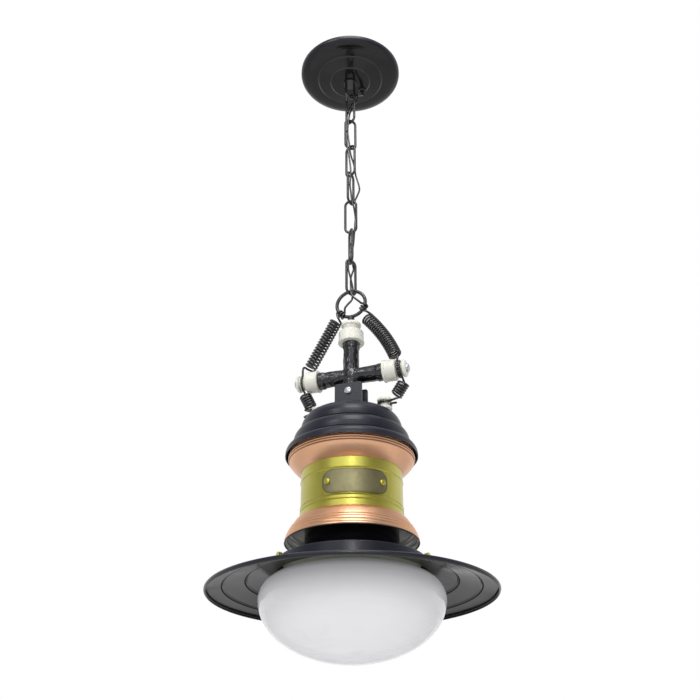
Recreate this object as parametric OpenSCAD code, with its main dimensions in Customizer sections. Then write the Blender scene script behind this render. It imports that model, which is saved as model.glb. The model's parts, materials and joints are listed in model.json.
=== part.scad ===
// Pendant light of the old enclosed-lamp kind, hung on a chain from a spun ceiling canopy.
// Millimetres, +Z up. The origin is on the ceiling, at the centre of the canopy's fixing holes.
// The side arms lie along X. The nameplate side faces -Y.

/* [Canopy] */
// Outer radius of the canopy where it meets the ceiling
canopy_r = 80; // [60:0.5:100]
// Height of the straight wall at the canopy's edge
canopy_wall = 4; // [3:0.5:8]
// Drop from the ceiling to the flat middle of the canopy
canopy_drop = 21.5; // [19:0.5:28]
// Radius of the outer ring line on the canopy
canopy_ring_outer_r = 52.3; // [45:0.1:62]
// Radius of the inner ring line on the canopy
canopy_ring_inner_r = 32.4; // [28:0.1:40]
// Thickness of the canopy's sheet
canopy_sheet = 1; // [0.8:0.1:1.5]
// Distance between the two ceiling screw holes of the strap
strap_hole_spacing = 88.9; // [80:0.1:110]
// Radius of the ceiling screw holes
strap_hole_r = 2.6; // [2:0.1:3.5]
// Width of the ceiling strap
strap_w = 20; // [16:0.5:26]
// Thickness of the ceiling strap
strap_t = 2.5; // [2:0.1:3]
// How far the strap's middle hangs under the ceiling
strap_offset = 12; // [10:0.5:14]
// Azimuth of the flex outlet in the canopy
outlet_azimuth = 57; // [0:1:359]
// Distance of the flex outlet from the canopy's centre
outlet_r = 25; // [20:0.5:27]

/* [Chain] */
// Depth under the ceiling at which the first link bears on the hook
chain_top = 51.3; // [48:0.1:60]
// Number of links
link_count = 7; // [7:1:7]
// Chain length taken by one link
link_pitch = 53.9; // [50:0.1:58]
// Diameter of the link's rod
link_rod = 3.8; // [3.2:0.1:4.2]
// Outside width of a link
link_w = 20.2; // [19.8:0.1:22]
// Diameter of the hook's rod
hook_rod = 4.2; // [3.8:0.1:4.6]
// Running gap between two rods that bear on each other
rod_gap = 0.3; // [0.2:0.05:0.4]
// Diameter of one flex wire
wire_d = 2.7; // [2:0.1:2.8]

/* [Lifting ring and cross] */
// Outside diameter of the lifting ring
ring_w = 46.6; // [44:0.1:50]
// Diameter of the lifting ring's rod
ring_rod = 5; // [4.4:0.1:5.6]
// Height of the ring's shoulder under its rod
ring_shoulder_h = 10; // [8:0.5:12]
// Radius of the ring's threaded shank
ring_shank_r = 4; // [3.5:0.1:4.5]
// Diameter of the cross's tubes
cross_d = 21.5; // [20:0.1:22.5]
// Distance from the post's centre to the face that a side insulator bears on
arm_reach = 45.5; // [42:0.5:50]
// Distance from the arms' centre up to the face of the top insulator
post_up = 50.5; // [47:0.5:55]
// Distance from the arms' centre down to the cross bolt
bolt_drop = 27.5; // [26:0.5:30]
// Distance from the cross bolt down to the end of the lower stub
stub_under = 14.5; // [12:0.5:16]
// Extra radius of the cross's end collars
collar_step = 1.2; // [0.6:0.1:2]

/* [Insulators] */
// Length of an insulator
insulator_l = 31.5; // [30:0.5:34]
// Radius of the top insulator's outer flange
insulator_flange_r = 13.8; // [13.4:0.1:15]
// Thickness of the insulators' outer flanges
insulator_flange_t = 4.6; // [4.4:0.1:6]
// Radius of the top insulator's groove
insulator_neck_r = 12.1; // [11:0.1:12.2]
// Width of the insulators' grooves
insulator_neck_w = 9.2; // [8.8:0.1:10]
// Radius of the top insulator's body
insulator_body_r = 17.2; // [16:0.1:17.4]
// Radius of the skirt round the top insulator's foot
insulator_skirt_r = 18.1; // [18:0.1:19.5]
// Height of the insulators' skirts
insulator_skirt_h = 3.2; // [2.5:0.1:4]
// Radius of a side insulator's outer flange
side_flange_r = 11.8; // [11.4:0.1:13]
// Radius of a side insulator's wire groove
side_neck_r = 9.4; // [8.6:0.1:9.8]
// Radius of a side insulator's body
side_body_r = 14.6; // [13.5:0.1:14.8]
// Radius of the skirt round a side insulator's foot
side_skirt_r = 15.6; // [15.4:0.1:17]
// Radius of the side insulators' screws
insulator_screw_r = 3; // [2.5:0.1:3.5]

/* [Bracket] */
// Width of the bracket's ears
ear_w = 37.5; // [30:0.5:40]
// Thickness of the bracket's plate
ear_t = 2.5; // [2:0.1:3]
// Free space between one ear and the cross's stub
ear_gap = 0.8; // [0.5:0.1:1.5]
// Height of the bracket's ears above the cross bolt
ear_over = 11.6; // [10:0.1:13]
// Height of the cross bolt above the cap
bolt_h = 33.5; // [31:0.1:36]
// Radius of the cross bolt
bolt_r = 3; // [2.5:0.1:3.5]
// Radius of the hollow stem that clamps the housing together
stem_r = 5; // [4.5:0.1:5.5]

/* [Cap] */
// Radius of the cap's flat top
cap_top_r = 50; // [48:0.5:52]
// Radius of the upper groove round the cap
cap_groove1_r = 67.8; // [66:0.1:69]
// Drop from the cap's top to the upper groove
cap_groove1_drop = 24.3; // [22:0.1:26]
// Radius of the lower groove round the cap
cap_groove2_r = 77.3; // [75:0.1:79]
// Drop from the cap's top to the lower groove
cap_groove2_drop = 44.2; // [42:0.1:46]
// Radius of the cap's lip
cap_lip_r = 85; // [83:0.1:88]
// Drop from the cap's top to the lip's lower edge
cap_lip_drop = 57.2; // [55:0.1:60]
// Thickness of the cap's sheet
cap_sheet = 1.2; // [0.8:0.1:1.6]
// Depth of the grooves round the cap
cap_groove_depth = 1; // [0.4:0.1:1.3]
// Distance of the lead-in spools from the axis
spool_x = 45.5; // [44.5:0.5:46.5]
// Radius of a spool's flanges
spool_r = 9.8; // [9.4:0.1:10.4]
// Radius of a spool's wire groove
spool_neck_r = 6.9; // [6.4:0.1:7.2]
// Height of a spool above the cap
spool_h = 20.5; // [20:0.1:23]

/* [Bells and band] */
// Radius of the brass band
band_r = 64; // [62:0.1:66]
// Height of the brass band
band_h = 61; // [58:0.1:66]
// Drop from the cap's lip to the top of the brass band
upper_bell_h = 22.3; // [20:0.1:25]
// Radius of the upper bell at its beads
upper_bell_r = 81; // [79:0.1:82]
// Height of the lower bell
lower_bell_h = 29.2; // [27:0.1:31]
// Radius of the lower bell's mouth
lower_bell_r = 83; // [80:0.1:84]
// Radius of the upper bell's two beads
bell_bead_r = 1.5; // [1.2:0.1:1.6]
// Radius of a band bead's swell
bead_r = 1.2; // [0.8:0.1:1.6]
// Thickness of the bells' and band's sheet
bell_sheet = 1; // [0.8:0.1:1.4]
// Height of the nameplate
plate_h = 30; // [26:0.5:32]
// Angle that the nameplate goes round the band
plate_angle = 74; // [60:1:84]
// Thickness of the nameplate
plate_t = 1.1; // [0.8:0.1:1.4]
// Azimuth that the nameplate faces
plate_azimuth = 292; // [0:1:359]
// Radius of the nameplate's corners
plate_corner = 11.5; // [8:0.5:12.5]
// Radius of a nameplate screw's head
plate_screw_head_r = 3.9; // [3:0.1:4.2]

/* [Shade and globe] */
// Gap between the lower bell's mouth and the shade's collar
collar_gap = 21.3; // [18:0.5:25]
// Radius of the shade's collar
shade_collar_r = 90.8; // [88:0.1:92]
// Height of the shade's collar
shade_collar_h = 15.5; // [14:0.1:17]
// Radius of the shade's rim
shade_rim_r = 175; // [165:0.5:185]
// Drop from the collar's top to the shade's rim
shade_drop = 41.5; // [38:0.5:45]
// Radius of the rolled bead at the shade's rim
shade_bead_r = 2.6; // [2:0.1:3]
// Radius of the shade's inner step line
shade_step1_r = 127.5; // [120:0.5:132]
// Drop from the collar's lower edge to the inner step line
shade_step1_drop = 8.8; // [8:0.1:10]
// Radius of the shade's outer step line
shade_step2_r = 154.7; // [150:0.5:158]
// Drop from the collar's lower edge to the outer step line
shade_step2_drop = 16.2; // [15.4:0.1:17.2]
// Thickness of the shade's sheet
shade_sheet = 1; // [0.8:0.1:1.4]
// Radius of the neck that carries the shade
neck_r = 58; // [54:0.5:60]
// Azimuth of the first thumb screw
screw_azimuth = 350; // [0:1:359]
// Radius of a thumb screw's thread
thumb_r = 2; // [1.6:0.1:2.4]
// Radius of a thumb screw's head
thumb_head_r = 4.2; // [3.4:0.1:4.6]
// Length of a thumb screw's head
thumb_head_l = 4.6; // [4:0.1:6]
// Greatest radius of the globe
globe_r = 111.5; // [108:0.1:116]
// Radius of the globe's neck
globe_neck_r = 79; // [77:0.1:79.5]
// Height of the globe from its neck's lip to its widest circle
globe_up = 45.8; // [43:0.1:50]
// Height of the globe's neck
globe_neck_h = 15; // [12:0.5:17]
// Depth of the globe's lower bowl
globe_down = 70; // [66:0.5:76]
// Thickness of the globe's glass
globe_wall = 3; // [2.5:0.1:4]

/* [Coils] */
// Outside diameter of the left upper coil
coil_left_d = 17.8; // [14:0.1:18]
// Turns of the left upper coil
coil_left_turns = 17.5; // [10.5:1:17.5]
// Outside diameter of the right upper coil
coil_right_d = 19; // [14:0.1:19]
// Turns of the right upper coil
coil_right_turns = 19.5; // [12.5:1:19.5]
// Outside diameter of the two lower coils
coil_low_d = 16.8; // [14:0.1:17]
// Turns of the left lower coil
coil_low_left_turns = 5.25; // [3.25:1:5.25]
// Turns of the right lower coil
coil_low_right_turns = 5.25; // [3.25:1:5.25]

/* [Hidden] */
$fn = 72;
fit = 0.1;
eps = 0.01;
lip_gap = 0.5;

// Heights, all measured down from the ceiling.
canopy_z = -canopy_drop;
contact_z = [for (k = [0:link_count]) -chain_top - k * link_pitch];
ring_top_rod_z = contact_z[link_count] + rod_gap + ring_rod / 2;
ring_rc = (ring_w - ring_rod) / 2;
ring_z = ring_top_rod_z - ring_rc;
top_insulator_z = ring_z - ring_rc - ring_rod / 2 - ring_shoulder_h + 0.4;
arm_z = top_insulator_z - insulator_l - post_up;
bolt_z = arm_z - bolt_drop;
cap_z = bolt_z - bolt_h;
ear_h = bolt_h + ear_over;
stub_z = bolt_z - stub_under;
band_top_z = cap_z - cap_lip_drop - upper_bell_h;
band_bottom_z = band_top_z - band_h;
bell_mouth_z = band_bottom_z - lower_bell_h;
collar_z = bell_mouth_z - collar_gap;
rim_z = collar_z - shade_drop;
lip_top_z = collar_z - shade_sheet - lip_gap;
lip_h = 2.6;
lip_out = 5.4;
globe_z = lip_top_z - globe_up;
lip_fillet = 0.5;
screw_z = lip_top_z - lip_h - lip_fillet - rod_gap - thumb_r;
neck_plate_z = band_bottom_z - bell_sheet;

// Azimuth of each link's plane, chosen by eye for the slight twist of a hanging chain.
hook_azimuth = 45;
link_azimuth = [-23, 37, -21, 77, 7, -57, 57];

// Routes of the two flex wires along the chain: links passed, azimuth, distance from the axis.
flex_a = [
    [0, 5, 10], [0.12, 8, 8.6], [0.24, 0, 6.2], [0.34, 340, 3.4], [0.46, 300, 3.2],
    [0.62, 268, 5.2], [0.74, 257, 6.4], [0.86, 250, 7.8],
    [1, 248, 8.5], [1.25, 242, 8.6], [1.5, 240.5, 8.6], [1.75, 246, 8.6],
    [2, 252, 8.5], [2.25, 262.5, 8], [2.5, 274, 8], [2.75, 284, 8],
    [3, 290, 8], [3.25, 286, 8], [3.5, 281.5, 8], [3.75, 291, 7.8],
    [4, 300, 7.6], [4.3, 324, 8.4], [4.6, 343, 8.4], [4.85, 338, 8.6],
    [5, 334, 8.6], [5.2, 330, 6.5], [5.4, 314, 3.5], [5.58, 290, 4.2], [5.76, 279, 6.6],
    [6, 271, 8.6], [6.3, 261, 8.5], [6.6, 282, 8.2], [6.85, 303, 7.3],
    [7, 310, 7.2], [7.08, 310, 7]
];
flex_b = [
    [0, 25, 10.8], [0.18, 24, 9.7], [0.36, 1, 6.3], [0.5, 350, 3.8], [0.64, 308, 3.4],
    [0.76, 284, 6],
    [1, 272, 8.2], [1.25, 263, 8.6], [1.5, 259, 8.7], [1.75, 266, 8.6],
    [2, 276, 8.2], [2.22, 281, 6.6], [2.42, 310, 4], [2.58, 345, 4.85], [2.76, 16, 6.4],
    [3, 28, 8], [3.2, 26, 10.5], [3.5, 24, 13.5], [3.7, 40, 10.8], [3.86, 53, 8.2],
    [4, 42, 8.2], [4.25, 31.5, 8.3], [4.6, 52, 8],
    [5, 65, 7.6], [5.3, 78, 7.9], [5.7, 99, 8.3],
    [6, 90, 8.6], [6.15, 81.5, 8.3], [6.4, 92, 3], [6.6, 272, 1.6], [6.8, 283, 4.6],
    [7, 285, 7], [7.08, 285, 6.8]
];

// Lead-in from the canopy's outlet to the hook, as x, y and depth under the canopy's middle.
lead_a = [[12, 19.4, -9], [12.5, 19.9, 2], [13.5, 18.5, 9], [13.5, 9.5, 17], [10.6, 3, 24]];
lead_b = [[15, 22.6, -9], [14.7, 22.1, 3], [15.6, 20.2, 11.5], [14.4, 12.6, 18.5], [10.6, 6.4, 24.5]];

// Azimuths of the knots on the lifting ring, from +X in the ring's own plane.
knot_left = [-118, -147];
knot_right = [-13, -42];
knot_turns = 2.25;

// Ends of the coils' axes, as x and z, mirrored for neither side: the two were wound by hand.
coil_left = [[-21.8, -471], [-40.5, -505.5], [-60, -540.5]];
coil_right = [[22.5, -473.5], [49, -504.5], [61.5, -539]];
coil_low_left = [[-65.6, -580.3], [-61.4, -589.3], [-57.2, -598.3]];
coil_low_right = [[72.2, -583], [67, -590.8], [61.8, -598.6]];

// Profile tools.

// Unit normal to the right of the line from a to b.
function right_of(a, b) = let (d = b - a) [d[1], -d[0]] / norm(d);

// Mitred normal at point i of an open profile.
function mitre(p, i) =
    i == 0 ? right_of(p[0], p[1]) :
    i == len(p) - 1 ? right_of(p[i - 1], p[i]) :
    let (a = right_of(p[i - 1], p[i]), b = right_of(p[i], p[i + 1]), m = a + b)
    m / (0.5 * (m * m));

// Profile moved sideways by t.
function beside(p, t) = [for (i = [0:len(p) - 1]) p[i] + t * mitre(p, i)];
function backwards(p) = [for (i = [len(p) - 1:-1:0]) p[i]];

// Arc about c from angle a0 to a1 in n steps.
function arc(c, rx, ry, a0, a1, n) =
    [for (i = [0:n]) let (a = a0 + (a1 - a0) * i / n) [c[0] + rx * cos(a), c[1] + ry * sin(a)]];

// Sheet-metal or glass skin: an open profile turned round the axis with a wall of t.
module spun(p, t) {
    rotate_extrude() polygon(concat(p, backwards(beside(p, t))));
}

module tube(r_out, r_in, h) {
    difference() {
        cylinder(h = h, r = r_out);
        translate([0, 0, -1]) cylinder(h = h + 2, r = r_in);
    }
}

// Tube sweep tools.

function unit(v) = v / norm(v);
function turn_into(v, t) = unit(v - (v * t) * t);
function tangent(p, i) =
    i == 0 ? unit(p[1] - p[0]) :
    i == len(p) - 1 ? unit(p[i] - p[i - 1]) :
    unit(unit(p[i + 1] - p[i]) + unit(p[i] - p[i - 1]));

// Side vectors carried along the path without twisting.
function carried(p) = [
    for (
        i = 0, v = turn_into(abs(tangent(p, 0)[2]) < 0.9 ? [0, 0, 1] : [1, 0, 0], tangent(p, 0));
        i < len(p);
        i = i + 1, v = i < len(p) ? turn_into(v, tangent(p, i)) : v
    ) v
];

// One closed tube of n sides along the points p.
module swept(p, d, n) {
    v = carried(p);
    m = len(p);
    rings = [
        for (i = [0:m - 1]) let (t = tangent(p, i), w = cross(t, v[i]))
        for (j = [0:n - 1]) let (a = 360 * j / n) p[i] + d / 2 * (cos(a) * v[i] + sin(a) * w)
    ];
    sides = [
        for (i = [0:m - 2]) for (j = [0:n - 1])
        let (a = i * n + j, b = i * n + (j + 1) % n)
        each [[a, a + n, b + n], [a, b + n, b]]
    ];
    caps = concat(
        [for (j = [1:n - 2]) [0, j, j + 1]],
        [for (j = [1:n - 2]) [(m - 1) * n, (m - 1) * n + j + 1, (m - 1) * n + j]]
    );
    polyhedron(concat(rings), concat(sides, caps));
}

// Smooth curve through hand-chosen points, n steps between neighbours.
function through(p, n) = [
    for (i = [0:len(p) - 2]) for (k = [0:n - 1])
    let (
        a = p[max(i - 1, 0)], b = p[i], c = p[i + 1], d = p[min(i + 2, len(p) - 1)],
        t = k / n
    )
    0.5 * (2 * b + (c - a) * t + (2 * a - 5 * b + 4 * c - d) * t * t
        + (3 * b - a - 3 * c + d) * t * t * t),
    p[len(p) - 1]
];

// Least gap between parts of one tube that are not neighbours along it.
function least_gap(p, d, skip) =
    min([for (i = [0:len(p) - 1 - skip]) for (j = [i + skip:len(p) - 1]) norm(p[i] - p[j])]) - d;

// Quadratic curve in the XZ plane that a coil's axis follows, and its outward side vector.
function axis_at(c, t) = (1 - t) * (1 - t) * c[0] + 2 * t * (1 - t) * c[1] + t * t * c[2];
function axis_run(c, t) = unit((1 - t) * (c[1] - c[0]) + t * (c[2] - c[1]));
function coil_point(c, side, r, t, a) =
    let (p = axis_at(c, t), u = axis_run(c, t), o = side * [u[1], -u[0]])
    [p[0] + r * cos(a) * o[0], r * sin(a), p[1] + r * cos(a) * o[1]];

// Eight rings to each curl.
curl_rings = 8;
function coil(c, side, r, a0, turns, way) =
    let (n = round(turns * curl_rings))
    [for (i = [0:n]) coil_point(c, side, r, i / n, a0 + way * 360 * turns * i / n)];

// Wraps: round the ring's rod, round a side insulator's neck and round a spool's neck.
knot_r = ring_rod / 2 + wire_d / 2 + fit;
function knot(k) = [
    for (i = [0:knot_turns * 10])
    let (
        f = i / (knot_turns * 10),
        a = k[0] + (k[1] - k[0]) * f,
        b = -135 + 360 * knot_turns * f,
        q = ring_rc + knot_r * cos(b)
    )
    [q * cos(a), knot_r * sin(b), ring_z + q * sin(a)]
];
wrap_gap = 0.3;
neck_wrap_r = side_neck_r + wire_d / 2 + wrap_gap;
function neck_wrap(x0, x1, a0, a1) =
    let (n = ceil(abs(a1 - a0) / 20))
    [for (i = [0:n]) let (f = i / n, a = a0 + (a1 - a0) * f)
        [x0 + (x1 - x0) * f, -neck_wrap_r * sin(a), arm_z + neck_wrap_r * cos(a)]];
spool_wrap_r = spool_neck_r + wire_d / 2 + fit;
spool_groove_top = cap_z + spool_h - 6.1;
spool_groove_drop = 3.6;
function spool_wrap(side) = [
    for (i = [0:11])
    let (f = i / 11, a = side < 0 ? 215 + 325 * f : 325 - 325 * f)
    [side * spool_x + spool_wrap_r * cos(a), spool_wrap_r * sin(a),
        spool_groove_top - spool_groove_drop * f]
];

// Whole route of the left lamp wire, from the ring's top to its loose tail.
neck_mid = arm_reach + insulator_l - insulator_flange_t - insulator_neck_w / 2;
left_r = (coil_left_d - wire_d) / 2;
right_r = (coil_right_d - wire_d) / 2;
low_r = (coil_low_d - wire_d) / 2;
knot_l = knot(knot_left);
knot_r_points = knot(knot_right);
upper_left_coil = coil(coil_left, 1, left_r, 180, coil_left_turns, -1);
upper_right_coil = coil(coil_right, -1, right_r, 0, coil_right_turns, 1);
lower_left_coil = coil(coil_low_left, 1, low_r, 90, coil_low_left_turns, -1);
lower_right_coil = coil(coil_low_right, -1, low_r, 90, coil_low_right_turns, -1);
neck_l = neck_wrap(-neck_mid + 0.5, -neck_mid - 0.5, 40, 190);
neck_rt = neck_wrap(neck_mid - 2.4, neck_mid + 2.4, 40, 540);
spool_l = spool_wrap(-1);
spool_rt = spool_wrap(1);
function first(p) = p[0];
function last(p) = p[len(p) - 1];
// Joins two runs by a smooth piece through hand-chosen points and leaves out the shared ends.
function joined(a, m, b, n) =
    let (s = through(concat([last(a)], m, [first(b)]), n))
    concat(a, [for (i = [1:len(s) - 2]) s[i]], b);

left_start = [[4.4, -5.6, -431.6], [3.9, -5.2, -437], [2.6, -5.1, -443.5], [-3.2, -5.1, -449.5]];
left_wire_route =
    joined(
        joined(
            joined(
                joined(
                    joined(through(left_start, 2), [[-7.4, -5, -455]], knot_l, 2),
                    [[-18.6, -4.6, -466], [-16.4, -4.4, -471.5]], upper_left_coil, 2),
                [[-67.4, -4.8, -539.6], [-67.2, -7.6, -546]], neck_l, 2),
            [[-67.2, 5.2, -576]], lower_left_coil, 2),
        [[-62.6, -5.6, -604.5]], spool_l, 2);
left_tail = [
    for (q = [[-55.2, -3.4, 0.2], [-59.4, -6.4, 1.2], [-63, -8, 3.8]])
    [q[0], q[1], last(spool_l)[2] - q[2]]
];
left_wire_path = concat(left_wire_route, left_tail);

right_start = [[1.8, -6.8, -431.6], [3.4, -8, -437], [8.6, -7.4, -443.5], [14, -5.6, -448.5]];
right_wire_route =
    joined(
        joined(
            joined(
                joined(
                    joined(through(right_start, 2), [[15.4, -4.4, -450]], knot_r_points, 2),
                    [[22.6, -4.9, -465]], upper_right_coil, 2),
                [[60, -4.6, -542.8], [66.4, -6.8, -546.4]], neck_rt, 2),
            [[71, 5, -577.4]], lower_right_coil, 2),
        [[65.2, -5.4, -605.5], [58.5, -6.6, -607.6]], spool_rt, 2);
right_tail = [
    for (q = [[55.2, -3.4, 0.1], [59.2, -5.6, 0.5], [63, -7.2, 1.4]])
    [q[0], q[1], last(spool_rt)[2] - q[2]]
];
right_wire_path = concat(right_wire_route, right_tail);

echo(left_wire_least_gap = least_gap(left_wire_path, wire_d, 4));
echo(right_wire_least_gap = least_gap(right_wire_path, wire_d, 4));
echo(left_wire_length = path_length(left_wire_path));
echo(right_wire_length = path_length(right_wire_path));
function path_length(p) =
    [for (i = [0:len(p) - 2]) norm(p[i + 1] - p[i])] * [for (i = [0:len(p) - 2]) 1];

// Flex stretches: the wires of link k run from just under one hinge to just above the next.
flex_cut = 1;
function hinge_z(k) = contact_z[k] - (k == 0 ? hook_rod : link_rod) / 2;
function polar(q) = [q[2] * cos(q[1]), q[2] * sin(q[1]), -chain_top - q[0] * link_pitch];
flex_lines = [for (route = [flex_a, flex_b]) through([for (q = route) polar(q)], 4)];
function point_at(p, z) =
    let (
        i = [for (k = [0:len(p) - 2]) if (p[k][2] >= z && p[k + 1][2] < z) k][0],
        f = (p[i][2] - z) / (p[i][2] - p[i + 1][2])
    )
    p[i] + f * (p[i + 1] - p[i]);
function stretch(p, k) =
    let (
        top = hinge_z(k - 1) - flex_cut,
        bottom = hinge_z(k) + flex_cut,
        n = 10
    )
    [for (i = [0:n]) point_at(p, top + (bottom - top) * i / n)];

// Canopy and ceiling fixing.

hook_shank_r = 4;
bushing_r = 4.6;
bushing_hole_r = 3.3;
canopy_profile = concat(
    [[hook_shank_r + fit, canopy_z], [canopy_ring_inner_r - 2, canopy_z + 0.8]],
    [[canopy_ring_inner_r, canopy_z + 2.2], [canopy_ring_outer_r - 2, canopy_z + 5.2]],
    [[canopy_ring_outer_r, canopy_z + 6.6]],
    arc([canopy_ring_outer_r, -canopy_wall], canopy_r - canopy_ring_outer_r,
        canopy_drop - canopy_wall - 6.6, -80, 0, 9),
    [[canopy_r, 0]]
);
module canopy() {
    color([0.12, 0.12, 0.13]) difference() {
        spun(canopy_profile, -canopy_sheet);
        rotate(outlet_azimuth) translate([outlet_r, 0, canopy_z - 5])
            cylinder(h = 20, r = bushing_r + fit);
    }
}

strap_leg = 24;
strap_mid = 16;
strap_line = [
    [-strap_hole_spacing / 2 - 7, 0], [-strap_leg, 0], [-strap_mid, -strap_offset],
    [strap_mid, -strap_offset], [strap_leg, 0], [strap_hole_spacing / 2 + 7, 0]
];

// Hat-shaped strap between the two ceiling screws.
module ceiling_strap() {
    color([0.62, 0.63, 0.65]) difference() {
        translate([0, strap_w / 2, 0]) rotate([90, 0, 0]) linear_extrude(strap_w)
            polygon(concat(strap_line, backwards(beside(strap_line, strap_t))));
        for (s = [-1, 1]) translate([s * strap_hole_spacing / 2, 0, -strap_t - 1])
            cylinder(h = strap_t + 2, r = strap_hole_r);
        translate([0, 0, -strap_offset - strap_t - 1])
            cylinder(h = strap_t + 2, r = hook_shank_r + fit);
    }
}

// Shouldered eye: flange under the canopy, long loop below, threaded shank up through the strap.
module canopy_hook() {
    rc = (link_w - 1.2 - hook_rod) / 2;
    bottom = hinge_z(0);
    flange_low = canopy_z - 2.6;
    color([0.13, 0.13, 0.14]) union() {
        translate([0, 0, flange_low]) cylinder(h = 2.6, r = rc + hook_rod / 2 + 1);
        translate([0, 0, canopy_z - 1]) cylinder(h = 1 - canopy_z - 3.4, r = hook_shank_r);
        rotate(hook_azimuth) {
            translate([0, 0, bottom + rc]) rotate([90, 0, 0]) bend(rc, hook_rod, 180);
            for (s = [-1, 1]) translate([s * rc, 0, bottom + rc])
                cylinder(h = flange_low + 0.6 - bottom - rc, r = hook_rod / 2, $fn = 32);
        }
    }
}

// Half a turn of round rod about +Z, from azimuth a0 on.
module bend(rc, d, a0) {
    rotate(a0) rotate_extrude(angle = 180) translate([rc, 0]) circle(d = d, $fn = 32);
}

module hook_nut() {
    color([0.62, 0.63, 0.65]) translate([0, 0, -strap_offset]) difference() {
        cylinder(h = 6, r = 7.5, $fn = 6);
        translate([0, 0, -1]) cylinder(h = 8, r = hook_shank_r + fit);
    }
}

module outlet_bushing() {
    color([0.1, 0.1, 0.1]) rotate(outlet_azimuth) translate([outlet_r, 0, canopy_z]) union() {
        translate([0, 0, -1.6]) tube(bushing_r + 1.6, bushing_hole_r, 2);
        tube(bushing_r, bushing_hole_r, 4.4);
    }
}

terminal_x = [8, 20];
terminal_z = canopy_z + 5.6;
module terminal_block() {
    color([0.9, 0.9, 0.86]) difference() {
        union() {
            translate([2, 26, terminal_z + 3.4]) cube([24, 9, 9]);
            translate([2, 24.4, terminal_z]) cube([24, 12, 4]);
        }
        for (x = terminal_x) {
            translate([x, 20, terminal_z + 8]) rotate([-90, 0, 0]) cylinder(h = 30, r = wire_d / 2 + fit);
            translate([x, 30.5, terminal_z + 8]) cylinder(h = 10, r = 1.7);
        }
    }
}

module terminal_screws() {
    color([0.7, 0.68, 0.5]) for (x = terminal_x) translate([x, 30.5, terminal_z + 9.4])
        slotted_pin(1.6, 4.4);
}

// Short grub screw with a driver slot in its top.
module slotted_pin(r, h) {
    difference() {
        cylinder(h = h, r = r, $fn = 24);
        translate([-r - 1, -0.25, h - 0.8]) cube([2 * r + 2, 0.5, 1.6]);
    }
}

module canopy_flex() {
    color([0.06, 0.06, 0.06]) for (q = [[lead_a, flex_a, 0], [lead_b, flex_b, 1]]) {
        inside = [terminal_x[q[2]], 27.4, terminal_z + 8];
        end_point = polar(q[1][0]);
        lead = [for (p = q[0]) [p[0], p[1], canopy_z - p[2]]];
        route = concat(
            [inside, [inside[0], inside[1] - 3.4, inside[2]]],
            lead,
            [[end_point[0], end_point[1], hinge_z(0) + flex_cut]]
        );
        swept(through(route, 2), wire_d, 8);
    }
}

// Chain.

module chain_link(k) {
    rc = (link_w - link_rod) / 2;
    top = contact_z[k - 1] + rod_gap + link_rod / 2 - rc;
    bottom = contact_z[k] - link_rod / 2 + rc;
    color([0.13, 0.13, 0.14]) rotate(link_azimuth[k - 1]) {
        translate([0, 0, top]) rotate([90, 0, 0]) bend(rc, link_rod, 0);
        translate([0, 0, bottom]) rotate([90, 0, 0]) bend(rc, link_rod, 180);
        for (s = [-1, 1]) translate([s * rc, 0, bottom])
            cylinder(h = top - bottom, r = link_rod / 2, $fn = 32);
    }
}

module link_flex(k) {
    color([0.06, 0.06, 0.06]) {
        swept(stretch(flex_lines[0], k), wire_d, 8);
        swept(stretch(flex_lines[1], k), wire_d, 8);
    }
}

// Lifting ring, insulators and cross.

module lifting_ring() {
    shoulder_z = top_insulator_z;
    color([0.12, 0.12, 0.13]) union() {
        translate([0, 0, ring_z]) rotate([90, 0, 0])
            rotate_extrude() translate([ring_rc, 0]) circle(d = ring_rod, $fn = 32);
        translate([0, 0, shoulder_z]) cylinder(h = ring_shoulder_h + 0.6, r = ring_shank_r + 0.6);
        translate([0, 0, shoulder_z]) cylinder(h = 3.2, r = ring_shank_r + 4);
        translate([0, 0, shoulder_z - insulator_l - 22])
            cylinder(h = insulator_l + 23, r = ring_shank_r);
    }
}

// Upright porcelain insulator, foot at z = 0 and flange at the top, with a bore of r_bore.
module insulator_body(r_bore, flange_r, neck_r, body_r, skirt_r, end_r) {
    neck_z = insulator_l - insulator_flange_t - insulator_neck_w;
    flange_z = insulator_l - insulator_flange_t;
    profile = concat(
        [[r_bore, 0], [skirt_r - 1, 0]],
        arc([skirt_r - 1, insulator_skirt_h / 2], 1, insulator_skirt_h / 2, -90, 90, 6),
        [[body_r - 0.1, insulator_skirt_h], [body_r - 0.1, insulator_skirt_h + 0.5]],
        [[body_r, insulator_skirt_h + 0.8]],
        arc([body_r - 2, neck_z - 2], 2, 2, 0, 90, 5),
        [[neck_r + 0.5, neck_z], [neck_r, neck_z + 0.8]],
        [[neck_r, flange_z - 0.8], [neck_r + 0.5, flange_z]],
        arc([flange_r - 1, flange_z + 1], 1, 1, -90, 0, 4),
        arc([flange_r - end_r, insulator_l - end_r], end_r, end_r, 0, 90, 6),
        [[r_bore, insulator_l]]
    );
    rotate_extrude() polygon(profile);
}

module top_insulator() {
    color([0.87, 0.86, 0.78]) translate([0, 0, top_insulator_z - insulator_l])
        insulator_body(ring_shank_r + fit, insulator_flange_r, insulator_neck_r, insulator_body_r,
            insulator_skirt_r, 2);
}

module side_insulator(side) {
    color([0.87, 0.86, 0.78]) translate([side * arm_reach, 0, arm_z]) rotate([0, side * 90, 0])
        insulator_body(insulator_screw_r + fit, side_flange_r, side_neck_r, side_body_r,
            side_skirt_r, 3);
}

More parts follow.
